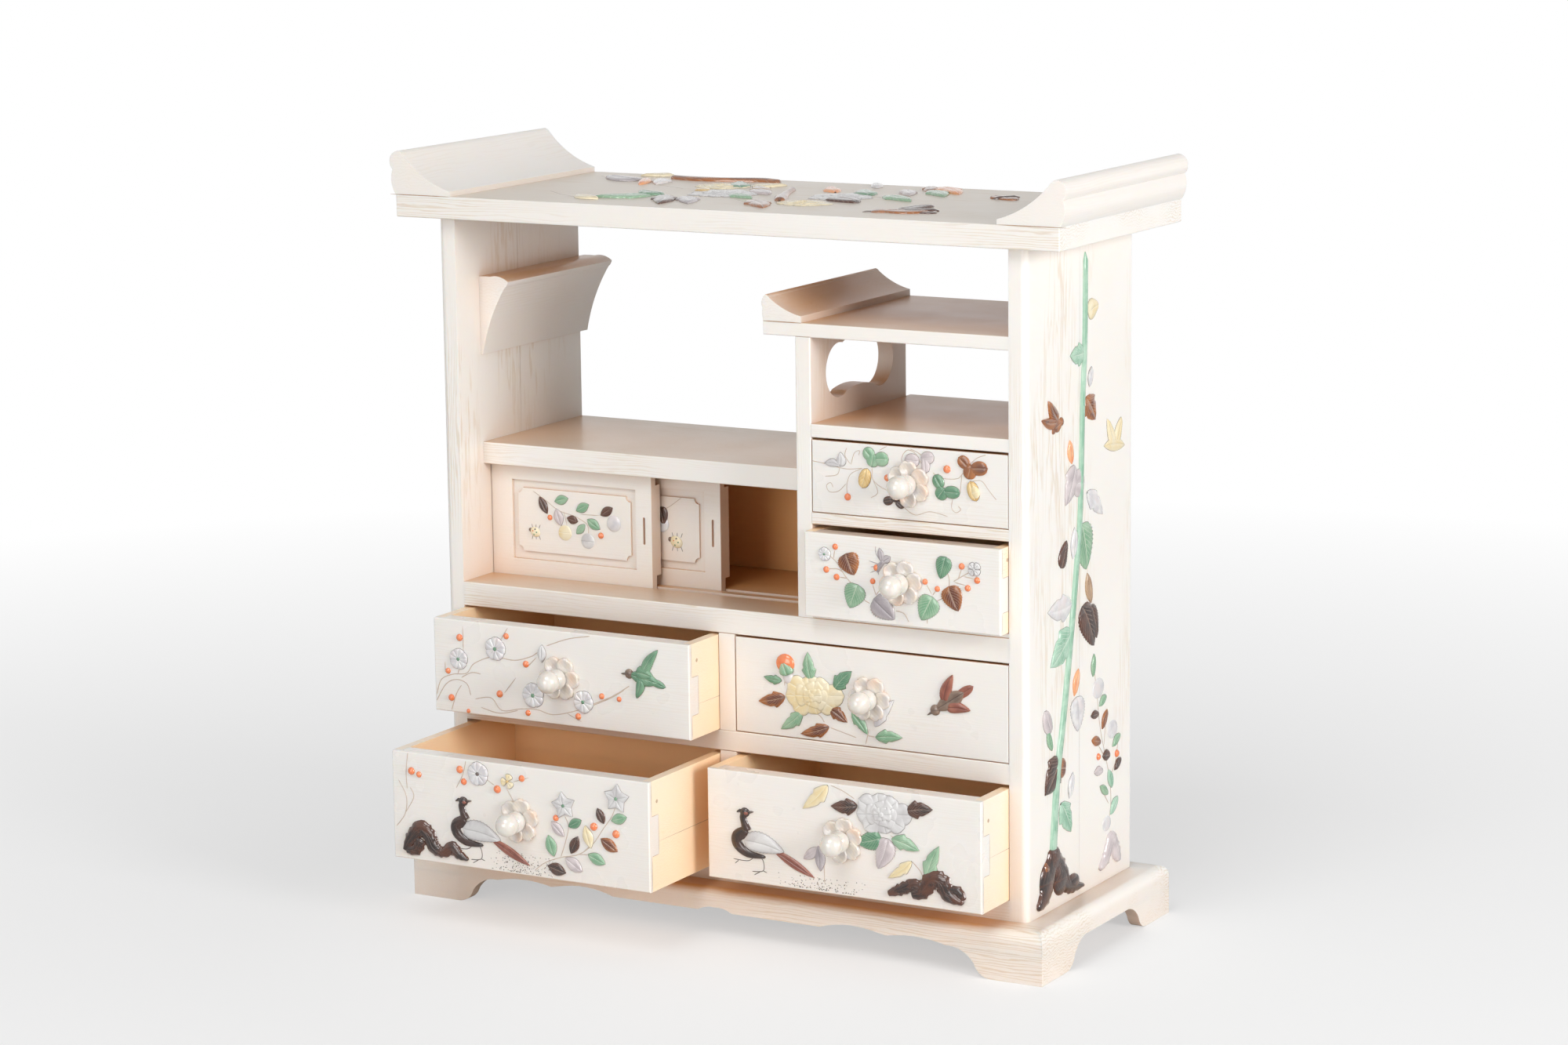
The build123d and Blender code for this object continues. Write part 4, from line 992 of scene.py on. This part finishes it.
def dress_side(name, side):
    """A tall vine from a dark root, with birds, and a small plant; mirrored on the other side."""
    face, at = side_face(f"{name}_inlay", "carcass", *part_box(name), side)
    vine = (17, 17, 19.8, 40, 24.6, 60, 28.8, 80, 32.6, 100, 35.6, 120, 37, 150, 38.6, 170, 39, 197)
    face.stroke("jade", vine, (4.6, 3.8, 3.4, 3.2, 3, 2.8, 2.6, 2.8, 2.6), 0.9, at=at)
    face.leaves(
        0.65, 0.03,
        ("pearl ivy", 30, 92, 13.6, 92, 9), ("jade ivy", 29.6, 84, 15.4, 75, 12),
        ("dark heart", 37, 89.6, 45.4, 76, 10), ("dark heart", 43, 89, 47.4, 78, 6),
        ("tan", 43.4, 89.6, 40.6, 99.4, 4.6), ("leaf", 44.8, 66.4, 45.6, 73.4, 2.8),
        ("coral_leaf", 31.6, 63, 34.6, 71, 4), ("pearl heart", 33.4, 62.4, 34.4, 51.6, 9.6),
        ("lilac round", 15.6, 55, 11.4, 62.4, 5.4), ("leaf", 16.4, 49.4, 13.2, 56.4, 3),
        ("dark ivy", 21.4, 46.4, 11.6, 36.6, 12.6), ("brown round", 20.6, 43, 25.6, 42, 6.2),
        ("jade ivy", 22.4, 31.6, 29.4, 21.4, 9.4), ("pearl", 28.4, 32, 31, 39.6, 3.6),
        ("dark", 43.4, 54.3, 49, 54, 2.8), ("leaf", 49.4, 56.2, 54.2, 58.9, 2.8),
        ("brown", 51.4, 48.6, 55, 54.2, 3.2), ("brown", 44, 46.6, 50.4, 44.6, 3.2),
        ("dark", 51.8, 39.9, 57, 39.5, 3.6), ("leaf", 58.9, 41.5, 64.4, 44.6, 3),
        ("dark", 60.4, 33.7, 65, 36.9, 3), ("jade", 56, 34.9, 58.4, 28.6, 3.4),
        ("leaf", 50, 30.9, 55.6, 27.1, 2.8), ("jade", 57.4, 20.2, 62.8, 25, 3.6),
        ("lilac", 46, 36, 52, 35.6, 3), ("jade ivy", 38.4, 167, 28.8, 167, 7.6),
        ("yellow heart", 41, 178.6, 48, 180.4, 6.2), ("brown ivy", 39.4, 153, 46, 145.4, 9.4),
        ("pearl", 42, 156, 43.6, 162, 3), ("coral_leaf", 29.8, 134.4, 28.4, 141.8, 3.8),
        ("lilac ivy", 32, 133.6, 25.6, 122.4, 10), ("lilac round", 31, 128, 38.4, 127.4, 8.6),
        ("yellow", 52.4, 136.4, 67, 134.6, 4.4), ("yellow heart", 59.6, 136, 54.6, 144.4, 4.4),
        ("yellow heart", 61, 136, 64.6, 143.6, 4.6), ("pearl ivy", 40.6, 124, 51.4, 115.6, 7),
        ("dark heart", 22.4, 104, 26.4, 111.8, 5.6), ("leaf heart", 36.4, 115, 40, 100.6, 12.6),
        ("pearl", 32, 114.8, 30.6, 105.4, 4.4),
        at=at,
    )
    for s, z, radius in ((48.8, 62, 4), (59, 47, 3.6), (55, 18, 3)):
        face.dome("pearl", *at(s, z), radius, radius * 0.8, 0.4)
    face.berries((*at(48.8, 40.5), 1.1), (*at(62, 38.7), 1.2))
    wings = ((at(20, 149.4), at(13.8, 155.6), 4.6), (at(19.4, 148.8), at(9.4, 150.4), 3.6))
    tail = (at(17.6, 148), at(16.6, 145.4), 2)
    flying_bird(face, at(22.6, 148.2), at(24.4, 148), tail, wings, ("brown", "brown", "brown"), 4.2)
    for kind, path, widths in (
        ("rock", (6, 2.8, 11, 5.6, 14.6, 12, 17.6, 18.6), (1.4, 7.4, 9, 5.4)),
        ("rock", (16.6, 17, 21.6, 11.6, 25.4, 6.4, 30, 4.2, 37.8, 2.8), (6.4, 8, 5.4, 4.6, 1)),
        ("rock", (20.4, 14, 25.2, 9.6, 27.4, 4.6), (1.6, 4, 1.4)),
        ("brown", (10.6, 14.6, 13.4, 13.4), (3.6, 3)),
        ("lilac", (49.4, 4.8, 54, 7.2, 58, 12.4, 61.6, 7.4, 63, 4.4), (1.6, 5, 5.4, 5.6, 2)),
    ):
        face.stroke(kind, path, widths, 1.1, 0.08, at)
    mounds = ((12.6, 9.4, 4.6, 6.4), (22.4, 8.4, 5.4, 5.2), (30.6, 5.2, 4.6, 2.8), (17.6, 15.4, 4.6, 4.4))
    for s, z, half_s, half_z in mounds:
        face.dome("rock", *at(s, z), half_s, half_z, 1.2)
    face.stems(
        (56, 16, 58, 24, 57, 32, 53, 42, 50, 50, 48, 60, 46, 68), (57, 32, 61, 36, 63, 42),
        (55, 38, 49, 44), (53, 43, 54, 50), (56.4, 24, 52, 29),
        width=0.4, at=at,
    )
    face.finish()


TOP_START = -0.1


def dress_top():
    """A long spray of flowers and leaves across the top board, with a bird and a moth."""
    low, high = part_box("top_board")
    face = Face("top_board_inlay", "carcass", (TOP_START, low.y, high.z), RIGHT, (0, 1, 0))
    face.stroke("brown", (40, 76, 50, 74, 60, 75, 72, 79, 80, 76), (3, 4.4, 3.2, 4.6, 1.6), 1.2)
    face.stroke("brown", (94, 60, 98, 48, 102, 38, 106, 30), (1.8, 2.6, 4.2, 3), 1.2)
    face.peony("white", 79, 42, 12, 11, 13)
    face.peony("white", 118, 47, 11, 10, 13)
    face.peony("yellow", 68, 60, 10, 8, 9)
    face.peony("yellow", 116, 27, 10, 7, 9)
    face.leaves(
        0.9, 0.04,
        ("leaf ivy", 62, 27, 47, 17, 11), ("green ivy", 64, 30, 52, 36, 8), ("dark ivy", 66, 28, 76, 8, 9),
        ("grey ivy", 74, 27, 84, 12, 8), ("yellow", 52, 12, 40, 18, 6), ("grey heart", 34, 64, 18, 72, 9),
        ("coral_leaf", 34, 70, 41, 54, 4), ("pearl ivy", 40, 70, 46, 56, 7), ("yellow ivy", 36, 84, 27, 78, 7),
        ("green ivy", 76, 58, 68, 72, 8), ("yellow ivy", 78, 62, 86, 70, 8), ("tan ivy", 88, 52, 80, 62, 7),
        ("lilac ivy", 84, 52, 94, 44, 8), ("leaf ivy", 84, 38, 95, 32, 7), ("brown ivy", 98, 26, 111, 11, 9),
        ("amber", 66, 48, 72, 44, 5), ("coral_leaf ivy", 110, 58, 102, 70, 6),
        ("green ivy", 124, 54, 116, 66, 8), ("dark heart", 118, 42, 131, 34, 9),
        ("leaf ivy", 130, 53, 144, 44, 8), ("lilac ivy", 128, 70, 136, 58, 6),
        ("brown ivy", 131, 82, 136, 70, 6), ("coral_leaf ivy", 134, 82, 148, 68, 9),
        ("leaf ivy", 136, 72, 147, 60, 8), ("pearl", 110, 84, 116, 74, 4),
    )
    face.leaf("brown", "heart", (166, 64), (160.4, 66), 7, 0.6)
    face.leaf("brown", "heart", (166, 64), (171.6, 60), 6, 0.6)
    face.stroke("dark", (163.6, 60, 168.6, 68.6), (1, 1.6), 0.8)
    wings = (((152, 21), (156.6, 35), 6), ((153, 18), (164, 24), 6))
    tail = ((160.6, 22), (166, 18.6), 4)
    flying_bird(face, (148, 16.6), (143.6, 13.6), tail, wings, ("brown", "dark", "brown"), 9)
    face.stems(
        (14, 74, 26, 66, 40, 60, 60, 50), (24, 28, 34, 20, 46, 14), (108, 34, 128, 52, 136, 64),
        (90, 30, 100, 22),
        width=0.5,
    )
    face.finish()


# ---- Seams of the carcass ----
SEAM_BACK = 35.5
BAY_FOOT = 130


def mark_panel(name, word, side, foot, width, relief):
    """The seam between a side panel's two boards, on its inner or its outer face."""
    low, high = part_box(name)
    face, at = side_face(f"{name}_{word}_seam", "carcass", low, high, side)
    top = (high.z - low.z) / MM - 0.3
    face.stroke("seam", (SEAM_BACK, foot, SEAM_BACK, top), width, relief, at=at)
    face.finish()


def mark_scroll(name, scroll, board, start):
    """The dark line where a scroll meets its board."""
    low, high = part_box(scroll)
    board_low, board_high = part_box(board)
    face = Face(f"{name}_joint_line", "carcass", (low.x, board_low.y, board_high.z), RIGHT)
    face.stroke("seam", (start, 0, (high.x - low.x) / MM, 0), 0.3, 0.02)
    face.finish()


def mark_carcass():
    """The seams of the side panels and the lines under the scrolls."""
    for name, inward in (("side_panel_left", 1), ("side_panel_right", -1)):
        mark_panel(name, "inner", inward, BAY_FOOT, 0.18, 0.012)
        mark_panel(name, "outer", -inward, 0.3, 0.12, 0.01)
    for name in ("top_scroll_left", "top_scroll_right"):
        mark_scroll(name, name, "top_board", 0)
    mark_scroll("upper_shelf", "upper_shelf_scroll", "upper_shelf", 0.4)


# ---- Floor, light and view ----
FLOOR_RADIUS = 1.1
FLOOR_RINGS = 24
FLOOR_AROUND = 96
FLOOR_FADE = (0.16, 0.75)
FLOOR_WHITE = 0.5
LAMP_TARGET = Vector((0, 0, 0.12))
WORLD_STRENGTH = 0.2


def add_floor():
    """A pale floor that fades into the white background at its rim."""
    points, faces = [(0, 0, 0)], []
    for i in range(1, FLOOR_RINGS + 1):
        for k in range(FLOOR_AROUND):
            angle = 2 * math.pi * k / FLOOR_AROUND
            radius = FLOOR_RADIUS * i / FLOOR_RINGS
            points.append((radius * math.cos(angle), radius * math.sin(angle), 0))
    for k in range(FLOOR_AROUND):
        a, b = 1 + k, 1 + (k + 1) % FLOOR_AROUND
        faces.append((0, a, b))
        for _ in range(FLOOR_RINGS - 1):
            faces.append((a, a + FLOOR_AROUND, b + FLOOR_AROUND, b))
            a, b = a + FLOOR_AROUND, b + FLOOR_AROUND
    mesh = bpy.data.meshes.new("floor")
    mesh.from_pydata(points, [], faces)
    floor = add_object("floor", mesh)

    material, tree, shader = new_material("floor")
    set_values(shader, Base_Color=(0.90, 0.90, 0.90, 1), Roughness=0.7, Specular_IOR_Level=0.15)
    distance = add_node(tree, "ShaderNodeVectorMath", operation="LENGTH")
    coordinates = tree.nodes.new("ShaderNodeTexCoord")
    tree.links.new(coordinates.outputs["Object"], distance.inputs[0])
    fade = ramp(tree, distance.outputs["Value"], *FLOOR_FADE)
    whiter = maths(tree, "ADD", maths(tree, "MULTIPLY", fade, 1 - FLOOR_WHITE), FLOOR_WHITE)
    rays = tree.nodes.new("ShaderNodeLightPath")
    white = tree.nodes.new("ShaderNodeEmission")
    mixed = tree.nodes.new("ShaderNodeMixShader")
    tree.links.new(maths(tree, "MULTIPLY", whiter, rays.outputs["Is Camera Ray"]), mixed.inputs[0])
    tree.links.new(shader.outputs[0], mixed.inputs[1])
    tree.links.new(white.outputs[0], mixed.inputs[2])
    tree.links.new(mixed.outputs[0], tree.nodes["Material Output"].inputs["Surface"])
    mesh.materials.append(material)


def add_lamp(name, place, size, watts):
    """A square soft lamp turned to the cabinet."""
    data = bpy.data.lights.new(name, "AREA")
    data.shape = "SQUARE"
    data.size = size
    data.energy = watts
    lamp = add_object(name, data)
    lamp.location = place
    lamp.rotation_euler = (LAMP_TARGET - Vector(place)).to_track_quat("-Z", "Y").to_euler()


def add_world():
    """White to the camera, in reflections and through what is clear, and dimmer as light."""
    world = bpy.data.worlds.new("studio")
    world.use_nodes = True
    tree = world.node_tree
    background = tree.nodes["Background"]
    rays = tree.nodes.new("ShaderNodeLightPath")
    seen = maths(tree, "MAXIMUM", rays.outputs["Is Camera Ray"], rays.outputs["Is Glossy Ray"])
    shown = maths(tree, "MAXIMUM", seen, rays.outputs["Is Transmission Ray"])
    background.inputs["Color"].default_value = (1, 1, 1, 1)
    level = add_node(tree, "ShaderNodeMapRange", To_Min=WORLD_STRENGTH, To_Max=1)
    tree.links.new(shown, level.inputs["Value"])
    tree.links.new(level.outputs[0], background.inputs["Strength"])
    bpy.context.scene.world = world


bpy.context.scene.view_settings.view_transform = "Standard"
add_camera()
add_floor()
add_world()
add_lamp("key", (1.5, -0.4, 0.5), 0.6, 18)
add_lamp("fill", (-0.1, -1.65, 0.35), 0.8, 7)
add_lamp("overhead", (0.1, -1.0, 1.3), 0.7, 8)
dress_cad()
for drawer_name, (petal_turn, *joint_heights) in DRAWERS.items():
    add_petals(drawer_name, petal_turn)
    mark_drawer_sides(drawer_name, *joint_heights)
dress_column_upper()
dress_column_lower()
dress_upper_left()
dress_upper_right()
dress_lower_left()
dress_lower_right()
dress_doors()
dress_side("side_panel_right", 1)
dress_side("side_panel_left", -1)
dress_top()
mark_carcass()
